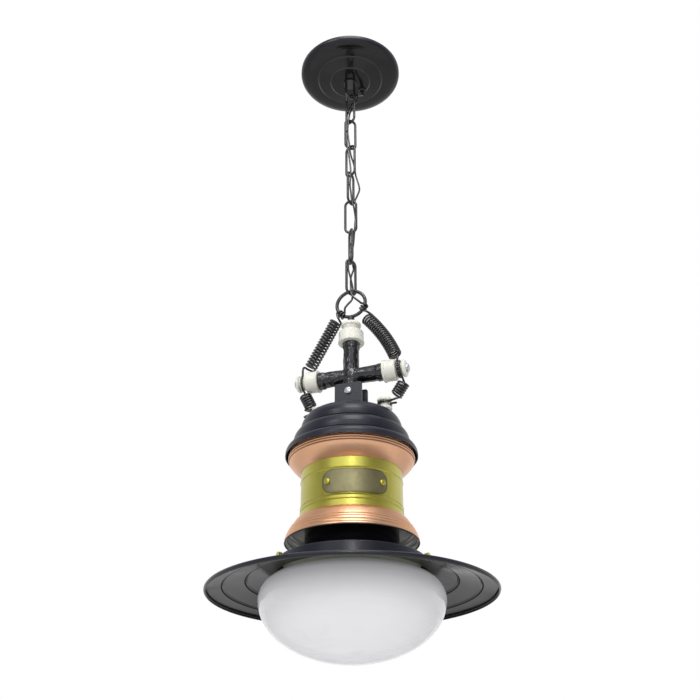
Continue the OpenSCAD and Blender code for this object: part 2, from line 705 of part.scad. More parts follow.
// Domed, slotted screw head resting on z = 0, shank below.
module round_screw(r, shank, head_r, head_h) {
    difference() {
        union() {
            translate([0, 0, -shank]) cylinder(h = shank + 0.2, r = r, $fn = 32);
            rotate_extrude() polygon(concat([[0, 0], [head_r, 0], [head_r, head_h * 0.35]],
                arc([0, head_h * 0.35], head_r, head_h * 0.65, 15, 90, 6)));
        }
        translate([-head_r - 1, -0.5, head_h * 0.5]) cube([2 * head_r + 2, 1, head_h]);
    }
}

module insulator_screws() {
    face = arm_reach + insulator_l;
    color([0.75, 0.76, 0.78]) for (s = [-1, 1]) translate([s * face, 0, arm_z])
        rotate([0, s * 90, 0]) rotate(40)
            round_screw(insulator_screw_r, insulator_l + 18, 6, 4);
}

// Cast cross of four tubes: the post goes up, the arms go sideways, the stub goes down.
module cross_fitting() {
    r = cross_d / 2;
    color([0.09, 0.09, 0.1]) difference() {
        union() {
            translate([0, 0, stub_z]) cylinder(h = arm_z + post_up - stub_z, r = r);
            translate([-arm_reach, 0, arm_z]) rotate([0, 90, 0]) cylinder(h = 2 * arm_reach, r = r);
            translate([0, 0, arm_z + post_up - 7]) end_collar(r);
            for (s = [-1, 1]) translate([s * (arm_reach - 7), 0, arm_z]) rotate([0, s * 90, 0])
                end_collar(r);
            translate([0, 0, arm_z]) sphere(r = r + 1.6);
        }
        translate([0, 0, arm_z + post_up - 24]) cylinder(h = 25, r = ring_shank_r + fit / 2);
        for (s = [-1, 1]) translate([s * (arm_reach - 20), 0, arm_z]) rotate([0, s * 90, 0])
            cylinder(h = 21, r = insulator_screw_r + fit / 2);
        translate([0, 20, bolt_z]) rotate([90, 0, 0]) cylinder(h = 40, r = bolt_r + fit);
    }
}

module end_collar(r) {
    rotate_extrude() polygon([[0, -3], [r, -3], [r + collar_step, 0], [r + collar_step, 7], [0, 7]]);
}

// Bracket, bolt and stem.

ear_in = cross_d / 2 + ear_gap;

module bracket() {
    out = ear_in + ear_t;
    color([0.2, 0.2, 0.22]) difference() {
        translate([-ear_w / 2, 0, cap_z]) rotate([90, 0, 90]) linear_extrude(ear_w)
            polygon(concat(
                [[-out, ear_h]], arc([-out + 4, 4], 4, 4, 180, 270, 5),
                arc([out - 4, 4], 4, 4, 270, 360, 5), [[out, ear_h], [ear_in, ear_h]],
                arc([ear_in - 1.5, ear_t + 1.5], 1.5, 1.5, 0, -90, 4),
                arc([1.5 - ear_in, ear_t + 1.5], 1.5, 1.5, -90, -180, 4), [[-ear_in, ear_h]]
            ));
        for (s = [-1, 1]) translate([s * (ear_w / 2 - 3), 0, cap_z + ear_h - 3]) difference() {
            translate([s > 0 ? 0 : -4, -40, 0]) cube([4, 80, 4]);
            rotate([90, 0, 0]) translate([0, 0, -41]) cylinder(h = 82, r = 3);
        }
        translate([0, 40, bolt_z]) rotate([90, 0, 0]) cylinder(h = 80, r = bolt_r + fit);
        translate([0, 0, cap_z - 1]) cylinder(h = ear_t + 2, r = stem_r + fit);
    }
}

module bracket_bolt() {
    face = ear_in + ear_t;
    color([0.75, 0.76, 0.78]) translate([0, -face, bolt_z]) rotate([90, 0, 0]) rotate(25)
        round_screw(bolt_r, 2 * face + 9, 5, 3.4);
}

module bracket_nut() {
    color([0.75, 0.76, 0.78]) translate([0, ear_in + ear_t, bolt_z]) rotate([-90, 0, 0])
        difference() {
            cylinder(h = 5, r = 5.8, $fn = 6);
            translate([0, 0, -1]) cylinder(h = 7, r = bolt_r + fit);
        }
}

stem_top = cap_z + ear_t + 7;
stem_end = neck_plate_z - 12;

module stem() {
    color([0.7, 0.62, 0.3]) translate([0, 0, stem_end])
        tube(stem_r, stem_r - 1.8, stem_top - stem_end);
}

module stem_nuts() {
    color([0.72, 0.66, 0.4]) {
        translate([0, 0, cap_z + ear_t]) hex_ring(9, 5.6);
        translate([0, 0, neck_plate_z - shade_sheet - 5.6]) hex_ring(9, 5.6);
    }
}

module hex_ring(r, h) {
    difference() {
        cylinder(h = h, r = r, $fn = 6);
        translate([0, 0, -1]) cylinder(h = h + 2, r = stem_r + fit);
    }
}

// Cap and lead-in spools.

cap_profile = concat(
    [[stem_r + fit, cap_z], [cap_top_r, cap_z]],
    arc([cap_top_r, cap_z - cap_groove1_drop + 1.6], cap_groove1_r - 1.4 - cap_top_r,
        cap_groove1_drop - 1.6, 80, 0, 9),
    [[cap_groove1_r - 1.4 - cap_groove_depth, cap_z - cap_groove1_drop + 0.1]],
    [[cap_groove1_r + 0.2, cap_z - cap_groove1_drop - 0.6]],
    arc([cap_groove1_r, cap_z - cap_groove2_drop + 1.6], cap_groove2_r - 1.4 - cap_groove1_r,
        cap_groove2_drop - cap_groove1_drop - 2.4, 70, 0, 6),
    [[cap_groove2_r - 1.4 - cap_groove_depth, cap_z - cap_groove2_drop + 0.1]],
    [[cap_groove2_r + 0.2, cap_z - cap_groove2_drop - 0.6]],
    arc([cap_groove2_r, cap_z - cap_lip_drop + 2.4], cap_lip_r - cap_groove2_r,
        cap_lip_drop - cap_groove2_drop - 3.2, 70, 0, 6),
    [[cap_lip_r, cap_z - cap_lip_drop]]
);

module cap() {
    color([0.16, 0.16, 0.18]) difference() {
        spun(cap_profile, cap_sheet);
        for (s = [-1, 1]) translate([s * spool_x, 0, cap_z - 20])
            cylinder(h = 24, r = spool_r - 2 + fit);
    }
}

module spool(side) {
    top = cap_z + spool_h;
    body_r = spool_r - 2;
    neck_top = top - 4.6;
    neck_low = neck_top - 7;
    color([0.87, 0.86, 0.78]) translate([side * spool_x, 0, 0]) difference() {
        rotate_extrude() polygon(concat(
            [[2.6, top], [spool_r - 1.6, top]],
            arc([spool_r - 1.6, top - 1.6], 1.6, 1.6, 80, 0, 5),
            [[spool_r, neck_top + 1], [spool_r - 1, neck_top]],
            [[spool_neck_r, neck_top], [spool_neck_r, neck_low]],
            [[spool_r - 1, neck_low], [spool_r, neck_low - 1], [spool_r, neck_low - 4]],
            [[body_r, neck_low - 5.4], [body_r, cap_z - 16], [2.6, cap_z - 16]]
        ));
    }
}

module lamp_wire(path) {
    color([0.06, 0.06, 0.06]) swept(path, wire_d, 6);
}

// Inner leads from the spools' bores down to the lampholder's cap.
module inner_leads() {
    color([0.85, 0.82, 0.7]) for (s = [-1, 1]) {
        route = [
            [s * spool_x, 0, cap_z - 4], [s * spool_x, 0, cap_z - 24],
            [s * (spool_x - 5), 0, cap_z - 44], [s * 34, 0, band_top_z - 16],
            [s * 30, 0, band_top_z - 40], [s * 24, 0, neck_plate_z + 10],
            [s * lead_hole_x, 0, neck_plate_z + 2], [s * lead_hole_x, 0, holder_top_z]
        ];
        swept(through(route, 2), lead_d, 8);
    }
}
lead_hole_x = 15;
lead_d = 2.4;

// Copper bells, brass band and nameplate.

// Row of round beads down a profile, each of radius bead_r.
function beads(r, z0, step, n) = [
    for (k = [0:n - 1]) for (a = [60, 0, -60])
    [r + bead_r * (cos(a) - 0.5) * 1.4, z0 - k * step + bead_r * sin(a) * 1.1]
];

// Row of rounder beads of radius b, each a full half wave.
function swells(r, z0, step, n, b) = [
    for (k = [0:n - 1]) for (a = [70, 35, 0, -35, -70])
    [r + 1.1 * b * (cos(a) - cos(70)), z0 - k * step + 1.05 * b * sin(a)]
];

cap_lip_z = cap_z - cap_lip_drop;
// Point of the upper bell's hollow side: f outwards and s upwards from the band's top edge.
function bell_side(f, s) = [
    band_r + 0.2 + (upper_bell_r - 1.4 - band_r) * f, band_top_z + (upper_bell_h - 6.5) * s
];
upper_bell_profile = concat(
    [[upper_bell_r - 10, cap_lip_z + 7.5], [upper_bell_r - 2.6, cap_lip_z + 7.5]],
    [[upper_bell_r - 1.6, cap_lip_z + 6.5], [upper_bell_r - 1.6, cap_lip_z]],
    swells(upper_bell_r - 1.2, cap_lip_z - 1.9, 3.1, 2, bell_bead_r),
    through([
        bell_side(0.95, 0.9), bell_side(0.8, 0.7), bell_side(0.55, 0.44), bell_side(0.28, 0.2),
        bell_side(0, 0)
    ], 3)
);

module upper_bell() {
    color([0.78, 0.55, 0.42]) spun(upper_bell_profile, bell_sheet);
}

bead1_drop = 13.6;
bead2_drop = 47.5;
bead3_drop = 52.5;
band_profile = concat(
    [[band_r - 1.8, band_top_z], [band_r, band_top_z]],
    beads(band_r, band_top_z - bead1_drop, 1, 1),
    beads(band_r, band_top_z - bead2_drop, bead3_drop - bead2_drop, 2),
    [[band_r, band_bottom_z], [band_r - 1.8, band_bottom_z]]
);

module brass_band() {
    color([0.72, 0.67, 0.28]) difference() {
        rotate_extrude() polygon(concat(band_profile,
            [[band_r - bell_sheet - 0.8, band_bottom_z], [band_r - bell_sheet, band_bottom_z + 2],
             [band_r - bell_sheet, band_top_z - 2], [band_r - bell_sheet - 0.8, band_top_z]]));
        for (s = [-1, 1]) plate_screw_place(s) translate([0, 0, -8])
            cylinder(h = 12, r = 1.5 + fit / 2, $fn = 24);
    }
}

plate_z = band_top_z - (bead1_drop + bead2_drop) / 2;
plate_screw_angle = plate_angle / 2 - 6.5;

// Moves to a nameplate screw's place with its head outwards.
module plate_screw_place(s) {
    rotate(plate_azimuth + s * plate_screw_angle) translate([band_r + plate_t, 0, plate_z])
        rotate([0, 90, 0]) children();
}

// Nameplate bent round the band, with corners of a large radius, left bare.
plate_half_w = (band_r + plate_t) * sin(plate_angle / 2);
// Flat outline seen from outside, height along X and width along Y.
plate_outline = [
    for (q = [[1, 1, 0], [-1, 1, 90], [-1, -1, 180], [1, -1, 270]])
    each arc([q[0] * (plate_h / 2 - plate_corner), q[1] * (plate_half_w - plate_corner)],
        plate_corner, plate_corner, q[2], q[2] + 90, 10)
];

module nameplate() {
    color([0.42, 0.38, 0.3]) difference() {
        intersection() {
            translate([0, 0, plate_z - plate_h]) tube(band_r + plate_t, band_r + eps, 2 * plate_h);
            rotate(plate_azimuth) translate([0, 0, plate_z]) rotate([0, 90, 0])
                linear_extrude(band_r * 2) polygon(plate_outline);
        }
        for (s = [-1, 1]) plate_screw_place(s) translate([0, 0, -6])
            cylinder(h = 8, r = 1.5 + fit / 2, $fn = 24);
    }
}

module nameplate_screws() {
    color([0.8, 0.74, 0.4]) for (s = [-1, 1]) plate_screw_place(s)
        round_screw(1.5, 5, plate_screw_head_r, 2.8);
}

// Four small swells down the slope of the lower bell, each square to the slope.
bell_slope_top = [band_r + 11, band_bottom_z - 11.5];
bell_slope_end = [lower_bell_r - 0.9, bell_mouth_z + 1.9];
bell_bulge = 0.9;
function bell_bead(k) =
    let (
        d = bell_slope_end - bell_slope_top,
        u = unit(d),
        out = [-u[1], u[0]],
        t = (k + 0.4) / 4,
        p = bell_slope_top + d * t + out * bell_bulge * 4 * t * (1 - t)
    )
    [p - u * 1.5, p - u * 0.8 + out * 0.8, p + u * 0.8 + out * 0.8, p + u * 1.5];
lower_bell_profile = concat(
    [[neck_r - 6, band_bottom_z]],
    through([
        [band_r + 0.2, band_bottom_z], [band_r + 4, band_bottom_z - 1.2],
        [band_r + 7, band_bottom_z - 4.4], [band_r + 9.2, band_bottom_z - 7.8],
        [band_r + 10.8, band_bottom_z - 10.6]
    ], 3),
    [for (k = [0:3]) each bell_bead(k)],
    [[lower_bell_r, bell_mouth_z]]
);

module lower_bell() {
    color([0.78, 0.55, 0.42]) spun(lower_bell_profile, bell_sheet);
}

// Neck, shade, thumb screws and globe.

neck_profile = concat(
    [[stem_r + fit, neck_plate_z], [neck_r - 3, neck_plate_z]],
    arc([neck_r - 3, neck_plate_z - 3], 3, 3, 70, 0, 4),
    [[neck_r, collar_z + 16]],
    arc([neck_r + 14, collar_z + 16], 14, 15, 190, 260, 6),
    [[neck_r + 15, collar_z + shade_sheet], [neck_r + 22.5, collar_z + shade_sheet]]
);
rivet_r = neck_r + 17.6;

module neck() {
    color([0.1, 0.1, 0.11]) difference() {
        spun(neck_profile, shade_sheet);
        for (s = [-1, 1]) translate([s * lead_hole_x, 0, neck_plate_z - 5])
            cylinder(h = 10, r = lead_d / 2 + 0.6);
        rivet_places() translate([0, 0, -5]) cylinder(h = 10, r = 1.6 + fit / 2, $fn = 24);
    }
}

// Six rivets hold the shade's collar to the neck.
module rivet_places() {
    for (k = [0:5]) rotate(screw_azimuth + 30 + 60 * k) translate([rivet_r, 0, collar_z])
        children();
}

module neck_rivets() {
    color([0.15, 0.15, 0.16]) rivet_places() union() {
        translate([0, 0, -shade_sheet]) cylinder(h = 2 * shade_sheet + 0.4, r = 1.6, $fn = 24);
        translate([0, 0, shade_sheet]) rotate_extrude()
            polygon(concat([[0, 0]], arc([0, 0], 2.6, 1.6, 0, 90, 6)));
    }
}

cone_z = collar_z - shade_collar_h;
step1_z = cone_z - shade_step1_drop;
step2_z = cone_z - shade_step2_drop;
shade_profile = concat(
    [[neck_r + 12, collar_z], [shade_collar_r - 1.6, collar_z]],
    arc([shade_collar_r - 1.6, collar_z - 1.6], 1.6, 1.6, 70, 0, 4),
    [[shade_collar_r, cone_z + 2]],
    arc([shade_collar_r + 3, cone_z + 2], 3, 3, 200, 250, 3),
    [[shade_step1_r - 2.6, step1_z + 0.9], [shade_step1_r, step1_z - 1.5]],
    [[shade_step2_r - 2.4, step2_z + 0.6], [shade_step2_r, step2_z - 1.4]],
    [[shade_rim_r - 10, rim_z + 6.5], [shade_rim_r - 4.6, rim_z + 5.2]],
    arc([shade_rim_r - shade_bead_r, rim_z + shade_bead_r], shade_bead_r, shade_bead_r, 70, -90, 8)
);

module shade() {
    color([0.14, 0.14, 0.16]) difference() {
        union() {
            spun(shade_profile, shade_sheet);
            thumb_places() translate([0, 0, shade_collar_r - shade_sheet - 0.6])
                cylinder(h = 4.4, r = 3.6, $fn = 32);
        }
        thumb_places() translate([0, 0, shade_collar_r - 10])
            cylinder(h = 20, r = thumb_r + thumb_fit);
        rivet_places() translate([0, 0, -5]) cylinder(h = 10, r = 1.6 + fit / 2, $fn = 24);
    }
}
thumb_fit = 0.05;

// Frames with +Z pointing out along each thumb screw.
module thumb_places() {
    for (k = [0:2]) thumb_place(k) children();
}
module thumb_place(k) {
    rotate(screw_azimuth + 120 * k) translate([0, 0, screw_z]) rotate([0, 90, 0]) children();
}

thumb_tip = globe_neck_r + rod_gap;
thumb_seat = shade_collar_r + 4;
// Knurled head: a round disc with a saw-toothed edge.
knurls = 24;
function knurled(r) =
    [for (i = [0:2 * knurls - 1]) (r - 0.35 * (i % 2)) * [cos(180 / knurls * i), sin(180 / knurls * i)]];
module thumb_screw(k) {
    color([0.78, 0.7, 0.4]) thumb_place(k) union() {
        translate([0, 0, thumb_tip])
            cylinder(h = thumb_seat - thumb_tip + 1.2, r = thumb_r, $fn = 32);
        translate([0, 0, thumb_seat + 1]) cylinder(h = 1.2, r = thumb_head_r - 0.8, $fn = 32);
        translate([0, 0, thumb_seat + 2]) linear_extrude(thumb_head_l)
            polygon(knurled(thumb_head_r));
    }
}

globe_profile = concat(
    arc([globe_neck_r + lip_out - 2, lip_top_z - lip_h / 2], 2, lip_h / 2, 90, -90, 8),
    [[globe_neck_r, lip_top_z - lip_h - lip_fillet], [globe_neck_r, lip_top_z - globe_neck_h]],
    arc([globe_neck_r, globe_z], globe_r - globe_neck_r, globe_up - globe_neck_h - 2, 80, 6, 12),
    arc([0, globe_z], globe_r, globe_down, 0, -90, 28)
);

module globe() {
    inner = concat(
        [[globe_neck_r - globe_wall, lip_top_z],
            [globe_neck_r - globe_wall, lip_top_z - globe_neck_h]],
        arc([globe_neck_r - globe_wall, globe_z], globe_r - globe_neck_r,
            globe_up - globe_neck_h - 5, 80, 6, 12),
        arc([0, globe_z], globe_r - globe_wall, globe_down - globe_wall, 0, -90, 28)
    );
    color([0.93, 0.93, 0.93]) rotate_extrude() polygon(concat(globe_profile, backwards(inner)));
}

// Lampholder and bulb.

holder_top_z = stem_end + 2.5;
holder_l = 48;
holder_r = 20;
bulb_r = 30;
bulb_wall = 1;

module lampholder() {
    z0 = holder_top_z;
    color([0.9, 0.89, 0.85]) difference() {
        rotate_extrude() polygon([
            [0, z0], [holder_r - 3, z0], [holder_r, z0 - 4], [holder_r, z0 - 24],
            [holder_r + 2, z0 - 26], [holder_r + 2, z0 - holder_l + 2], [holder_r, z0 - holder_l],
            [13.8, z0 - holder_l], [13.8, z0 - 22], [0, z0 - 22]
        ]);
        translate([0, 0, z0 - 8]) cylinder(h = 12, r = stem_r + fit);
        for (s = [-1, 1]) translate([s * lead_hole_x, 0, z0 - 6]) cylinder(h = 8, r = lead_d / 2 + fit);
    }
}

cap_top = holder_top_z - 23;
module bulb_cap() {
    color([0.75, 0.72, 0.6]) translate([0, 0, cap_top]) rotate_extrude() polygon(concat(
        [[0, 0], [4.6, 0], [5, -2], [11.5, -4.2], [13.2, -6]],
        [for (k = [0:3]) each [[13.2, -7 - 3.6 * k], [12.4, -8.8 - 3.6 * k]]],
        [[13.2, -22], [13.2, -26], [0, -26]]
    ));
}

function bulb_line(t) = concat(
    [[12.8 - t, cap_top - 26], [13.4 - t, cap_top - 30], [15 - t, cap_top - 38]],
    [[20 - t, cap_top - 48], [25.6 - t, cap_top - 58]],
    arc([0, cap_top - 74], bulb_r - t, bulb_r - t, 28, -90, 14)
);

// Thin glass, open at its neck where the metal cap closes it.
module bulb_glass() {
    color([0.95, 0.95, 0.92]) rotate_extrude()
        polygon(concat(bulb_line(0), backwards(bulb_line(bulb_wall))));
}

// Assembly.

canopy();
ceiling_strap();
canopy_hook();
hook_nut();
outlet_bushing();
terminal_block();
terminal_screws();
canopy_flex();
chain_link(1);  // link_1
chain_link(2);  // link_2
chain_link(3);  // link_3
chain_link(4);  // link_4
chain_link(5);  // link_5
chain_link(6);  // link_6
chain_link(7);  // link_7
link_flex(1);  // flex_1
link_flex(2);  // flex_2
link_flex(3);  // flex_3
link_flex(4);  // flex_4
link_flex(5);  // flex_5
link_flex(6);  // flex_6
link_flex(7);  // flex_7
lifting_ring();
top_insulator();
side_insulator(-1);  // left_insulator
side_insulator(1);  // right_insulator
insulator_screws();
cross_fitting();
bracket();
bracket_bolt();
bracket_nut();
stem();
stem_nuts();
cap();
spool(-1);  // left_spool
spool(1);  // right_spool
lamp_wire(left_wire_path);  // left_wire
lamp_wire(right_wire_path);  // right_wire
inner_leads();
upper_bell();
brass_band();
nameplate();
nameplate_screws();
lower_bell();
neck();
neck_rivets();
shade();
thumb_screw(0);  // thumb_screw_1
thumb_screw(1);  // thumb_screw_2
thumb_screw(2);  // thumb_screw_3
globe();
lampholder();
bulb_cap();
bulb_glass();
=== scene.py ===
"""Looks for the chain-hung pendant light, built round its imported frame. Metres, +Z up."""

import json
import math

import bpy
from mathutils import Matrix, Vector, noise


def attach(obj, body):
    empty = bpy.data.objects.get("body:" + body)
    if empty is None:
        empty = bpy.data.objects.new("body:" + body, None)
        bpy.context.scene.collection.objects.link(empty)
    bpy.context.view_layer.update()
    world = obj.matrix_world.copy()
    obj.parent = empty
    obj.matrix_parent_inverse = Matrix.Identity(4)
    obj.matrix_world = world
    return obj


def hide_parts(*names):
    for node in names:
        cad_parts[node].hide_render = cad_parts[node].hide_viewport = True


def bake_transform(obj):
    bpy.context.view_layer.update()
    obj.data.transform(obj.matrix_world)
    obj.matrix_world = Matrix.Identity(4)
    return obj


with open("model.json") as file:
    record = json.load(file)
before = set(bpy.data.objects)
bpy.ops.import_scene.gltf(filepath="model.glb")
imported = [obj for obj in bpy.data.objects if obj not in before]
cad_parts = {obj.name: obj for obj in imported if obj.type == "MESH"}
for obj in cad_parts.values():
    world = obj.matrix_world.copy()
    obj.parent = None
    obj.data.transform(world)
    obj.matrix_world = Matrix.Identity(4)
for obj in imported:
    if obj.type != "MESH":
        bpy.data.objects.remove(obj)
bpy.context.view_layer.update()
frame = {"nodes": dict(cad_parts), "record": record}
MM = 0.001


# Camera, at the photograph's place: lens in millimetres, angles in degrees

SENSOR, LENS = 36, 46.29
CLIP_START, CLIP_END = 0.02, 60
CAMERA_PLACE = (0.3335, -1.0205, -1.119)
CAMERA_TURN, CAMERA_RISE, CAMERA_ROLL = 18.19, 29.14, -0.185


def make_camera():
    data = bpy.data.cameras.new("camera")
    data.sensor_width = SENSOR
    data.lens = LENS
    data.clip_start = CLIP_START
    data.clip_end = CLIP_END
    cam = bpy.data.objects.new("camera", data)
    bpy.context.collection.objects.link(cam)
    cam.location = CAMERA_PLACE
    turn = Matrix.Rotation(math.radians(CAMERA_TURN), 3, "Z")
    tilt = Matrix.Rotation(math.radians(90 + CAMERA_RISE), 3, "X")
    roll = Matrix.Rotation(math.radians(CAMERA_ROLL), 3, "Z")
    cam.rotation_euler = (turn @ tilt @ roll).to_euler()
    bpy.context.scene.camera = cam


make_camera()


# Wire routes, the same as in the part's source, in millimetres until swept

# Diameters of a strand of the flex, a lamp wire and an inner lead
FLEX_D, LAMP_WIRE_D, INNER_LEAD_D = 2.7, 3.0, 2.4
# Steps from one given point to the next along a lamp wire, and along the flex or an inner
# lead, then steps in one turn of a coil
ROUTE_STEPS, FLEX_STEPS, COIL_STEPS = 5, 6, 24

# The chain: its links, the height where the first bears on the hook, the pitch from there to
# the next such place, the radius of their rod, and the middles of the rods that they swing on
LINKS = 7
CHAIN_TOP, PITCH, LINK_ROD_R = -51.3, 53.9, 1.9
# Above the first height the flex isn't always falling, and at the other the lamp wires begin
CANOPY_RUN_FOOT, FLEX_FOOT = -75, -436.9

# Middle radius and height of the lifting ring, then heights of the cross's arms, the cap and
# the top of the lampholder
RING_RC, RING_Z, ARM_Z, CAP_Z = 20.8, -446.6, -561.5, -622.5
HOLDER_TOP = -773.5
# Knot on the ring: radius, steps, first angle and sweep
KNOT_R, KNOT_STEPS, KNOT_FROM, KNOT_SWEEP = 4.1, 54, -135, 810
# Turns round an insulator's neck: middle of the neck, radius, first angle, degrees in a step
NECK_MID, NECK_WRAP_R, NECK_FROM, NECK_STEP = 67.8, 11.05, 40, 15
# Turns on a spool: its place and height, the first turn's depth below its top, then the
# turns' radius, fall and steps, their sweep, and the first angle at the left and the right
SPOOL_X, SPOOL_H, SPOOL_TURN_DEPTH = 45.5, 20.5, 6.1
SPOOL_WRAP_Z = CAP_Z + SPOOL_H - SPOOL_TURN_DEPTH
SPOOL_WRAP_R, SPOOL_WRAP_FALL, SPOOL_STEPS = 8.5, 3.6, 33
SPOOL_SWEEP, SPOOL_LEFT_FROM, SPOOL_RIGHT_FROM = 325, 215, 325
# Coils: radius and turns
UPPER_LEFT_COIL, UPPER_RIGHT_COIL, LOWER_COIL = (7.55, 17.5), (8.15, 19.5), (7.05, 5.25)

# The two strands of the flex: links down the chain, azimuth, distance from the chain's axis
FLEX_A = [
    (0, 5, 10), (0.12, 8, 8.6), (0.24, 0, 6.2), (0.34, 340, 3.4), (0.46, 300, 3.2),
    (0.62, 268, 5.2), (0.74, 257, 6.4), (0.86, 250, 7.8),
    (1, 248, 8.5), (1.25, 242, 8.6), (1.5, 240.5, 8.6), (1.75, 246, 8.6),
    (2, 252, 8.5), (2.25, 262.5, 8), (2.5, 274, 8), (2.75, 284, 8),
    (3, 290, 8), (3.25, 286, 8), (3.5, 281.5, 8), (3.75, 291, 7.8),
    (4, 300, 7.6), (4.3, 324, 8.4), (4.6, 343, 8.4), (4.85, 338, 8.6),
    (5, 334, 8.6), (5.2, 330, 6.5), (5.4, 314, 3.5), (5.58, 290, 4.2), (5.76, 279, 6.6),
    (6, 271, 8.6), (6.3, 261, 8.5), (6.6, 282, 8.2), (6.85, 303, 7.3), (7, 310, 7.2),
]
FLEX_B = [
    (0, 25, 10.8), (0.18, 24, 9.7), (0.36, 1, 6.3), (0.5, 350, 3.8), (0.64, 308, 3.4),
    (0.76, 284, 6),
    (1, 272, 8.2), (1.25, 263, 8.6), (1.5, 259, 8.7), (1.75, 266, 8.6),
    (2, 276, 8.2), (2.22, 281, 6.6), (2.42, 310, 4), (2.58, 345, 4.85), (2.76, 16, 6.4),
    (3, 28, 8), (3.2, 26, 10.5), (3.5, 24, 13.5), (3.7, 40, 10.8), (3.86, 53, 8.2),
    (4, 42, 8.2), (4.25, 31.5, 8.3), (4.6, 52, 8),
    (5, 65, 7.6), (5.3, 78, 7.9), (5.7, 99, 8.3),
    (6, 90, 8.6), (6.15, 81.5, 8.3), (6.4, 92, 3), (6.6, 272, 1.6), (6.8, 283, 4.6), (7, 285, 7),
]
# The strands' first points, from the terminal block out through the canopy's bushing
CANOPY_A = [(8, 27.4, -7.9), (8, 24, -7.9), (12, 19.4, -12.5), (12.5, 19.9, -23.5),
            (13.5, 18.5, -30.5), (13.5, 9.5, -38.5), (10.6, 3, -45.5)]
CANOPY_B = [(20, 27.4, -7.9), (20, 24, -7.9), (15, 22.6, -12.5), (14.7, 22.1, -24.5),
            (15.6, 20.2, -33), (14.4, 12.6, -40), (10.6, 6.4, -46)]
# One inner lead, from its spool to the lampholder: distance from the axis, and height
INNER_LEAD = [(SPOOL_X, CAP_Z - 4), (SPOOL_X, CAP_Z - 24), (40.5, CAP_Z - 44), (34, -718),
              (30, -742), (24, -754), (15, -762), (15, HOLDER_TOP)]


def vectors(points):
    return [Vector(p) for p in points]


def through(p, n):
    """A smooth path through the points p, with n steps from each point to the next."""
    out = []
    for i in range(len(p) - 1):
        a, b, c, d = p[max(i - 1, 0)], p[i], p[i + 1], p[min(i + 2, len(p) - 1)]
        for k in range(n):
            t = k / n
            out.append(0.5 * (2 * b + (c - a) * t + (2 * a - 5 * b + 4 * c - d) * t * t
                              + (3 * b - a - 3 * c + d) * t ** 3))
    out.append(p[-1])
    return out


def joined(a, middle, b):
    """Path a, then a smooth path through the middle points, then path b."""
    between = through([a[-1]] + vectors(middle) + [b[0]], ROUTE_STEPS)
    return a + between[1:-1] + b


def polar(q):
    """A point of the flex, given as in FLEX_A."""
    links, azimuth, reach = q
    a = math.radians(azimuth)
    return Vector((reach * math.cos(a), reach * math.sin(a), CHAIN_TOP - PITCH * links))


def coil(line, side, size, start, way):
    """A coil of a radius and turns along a bent line of three (x, z) points.

    Its angles go from start, in degrees, the way that the sign of way says, and side says on
    which side of the line angle 0 lies.
    """
    r, turns = size
    n = round(turns * COIL_STEPS)
    c = [Vector((x, 0, z)) for x, z in line]
    out = []
    for i in range(n + 1):
        t = i / n
        p = (1 - t) ** 2 * c[0] + 2 * t * (1 - t) * c[1] + t * t * c[2]
        along = ((1 - t) * (c[1] - c[0]) + t * (c[2] - c[1])).normalized()
        across = side * Vector((along.z, 0, -along.x))
        a = math.radians(start + way * 360 * turns * i / n)
        out.append(p + r * math.cos(a) * across + Vector((0, r * math.sin(a), 0)))
    return out


def knot(a0, a1):
    """Turns round the rod of the lifting ring, from angle a0 of the ring to a1."""
    out = []
    for i in range(KNOT_STEPS + 1):
        f = i / KNOT_STEPS
        a, b = math.radians(a0 + (a1 - a0) * f), math.radians(KNOT_FROM + KNOT_SWEEP * f)
        q = RING_RC + KNOT_R * math.cos(b)
        out.append(Vector((q * math.cos(a), KNOT_R * math.sin(b), RING_Z + q * math.sin(a))))
    return out


def neck_wrap(side, half, end):
    """Turns round a side insulator's neck, to the angle end, over half each way along it."""
    x0, x1 = side * (NECK_MID - half), side * (NECK_MID + half)
    n = math.ceil((end - NECK_FROM) / NECK_STEP)
    out = []
    for i in range(n + 1):
        f = i / n
        a = math.radians(NECK_FROM + (end - NECK_FROM) * f)
        out.append(Vector((x0 + (x1 - x0) * f, -NECK_WRAP_R * math.sin(a),
                           ARM_Z + NECK_WRAP_R * math.cos(a))))
    return out


def spool_wrap(side):
    """Turns on a spool, left or right, which mirror each other's way."""
    start = SPOOL_LEFT_FROM if side < 0 else SPOOL_RIGHT_FROM
    out = []
    for i in range(SPOOL_STEPS + 1):
        f = i / SPOOL_STEPS
        a = math.radians(start - side * SPOOL_SWEEP * f)
        out.append(Vector((side * SPOOL_X + SPOOL_WRAP_R * math.cos(a),
                           SPOOL_WRAP_R * math.sin(a), SPOOL_WRAP_Z - SPOOL_WRAP_FALL * f)))
    return out


def loose_end(last, points):
    """The points of a loose end, their heights measured down from the wire's last point."""
    return [Vector((x, y, last.z - drop)) for x, y, drop in points]


def left_route():
    """The left lamp wire from the flex to the end of its turns, and its loose end's points."""
    start = [(4.4, -5.6, -431.6), (3.9, -5.2, -437), (2.6, -5.1, -443.5), (-3.2, -5.1, -449.5)]
    p = joined(through(vectors(start), ROUTE_STEPS), [(-7.4, -5, -455)], knot(-118, -147))
    p = joined(p, [(-18.6, -4.6, -466), (-16.4, -4.4, -471.5)],
               coil([(-21.8, -471), (-40.5, -505.5), (-60, -540.5)], 1, UPPER_LEFT_COIL, 180, -1))
    p = joined(p, [(-67.4, -4.8, -539.6), (-67.2, -7.6, -546)], neck_wrap(-1, 0.5, 190))
    p = joined(p, [(-67.2, 5.2, -576)],
               coil([(-65.6, -580.3), (-61.4, -589.3), (-57.2, -598.3)], 1, LOWER_COIL, 90, -1))
    p = joined(p, [(-62.6, -5.6, -604.5)], spool_wrap(-1))
    return p, loose_end(p[-1], [(-55.2, -3.4, 0.2), (-59.4, -6.4, 1.2), (-63, -8, 3.8)])


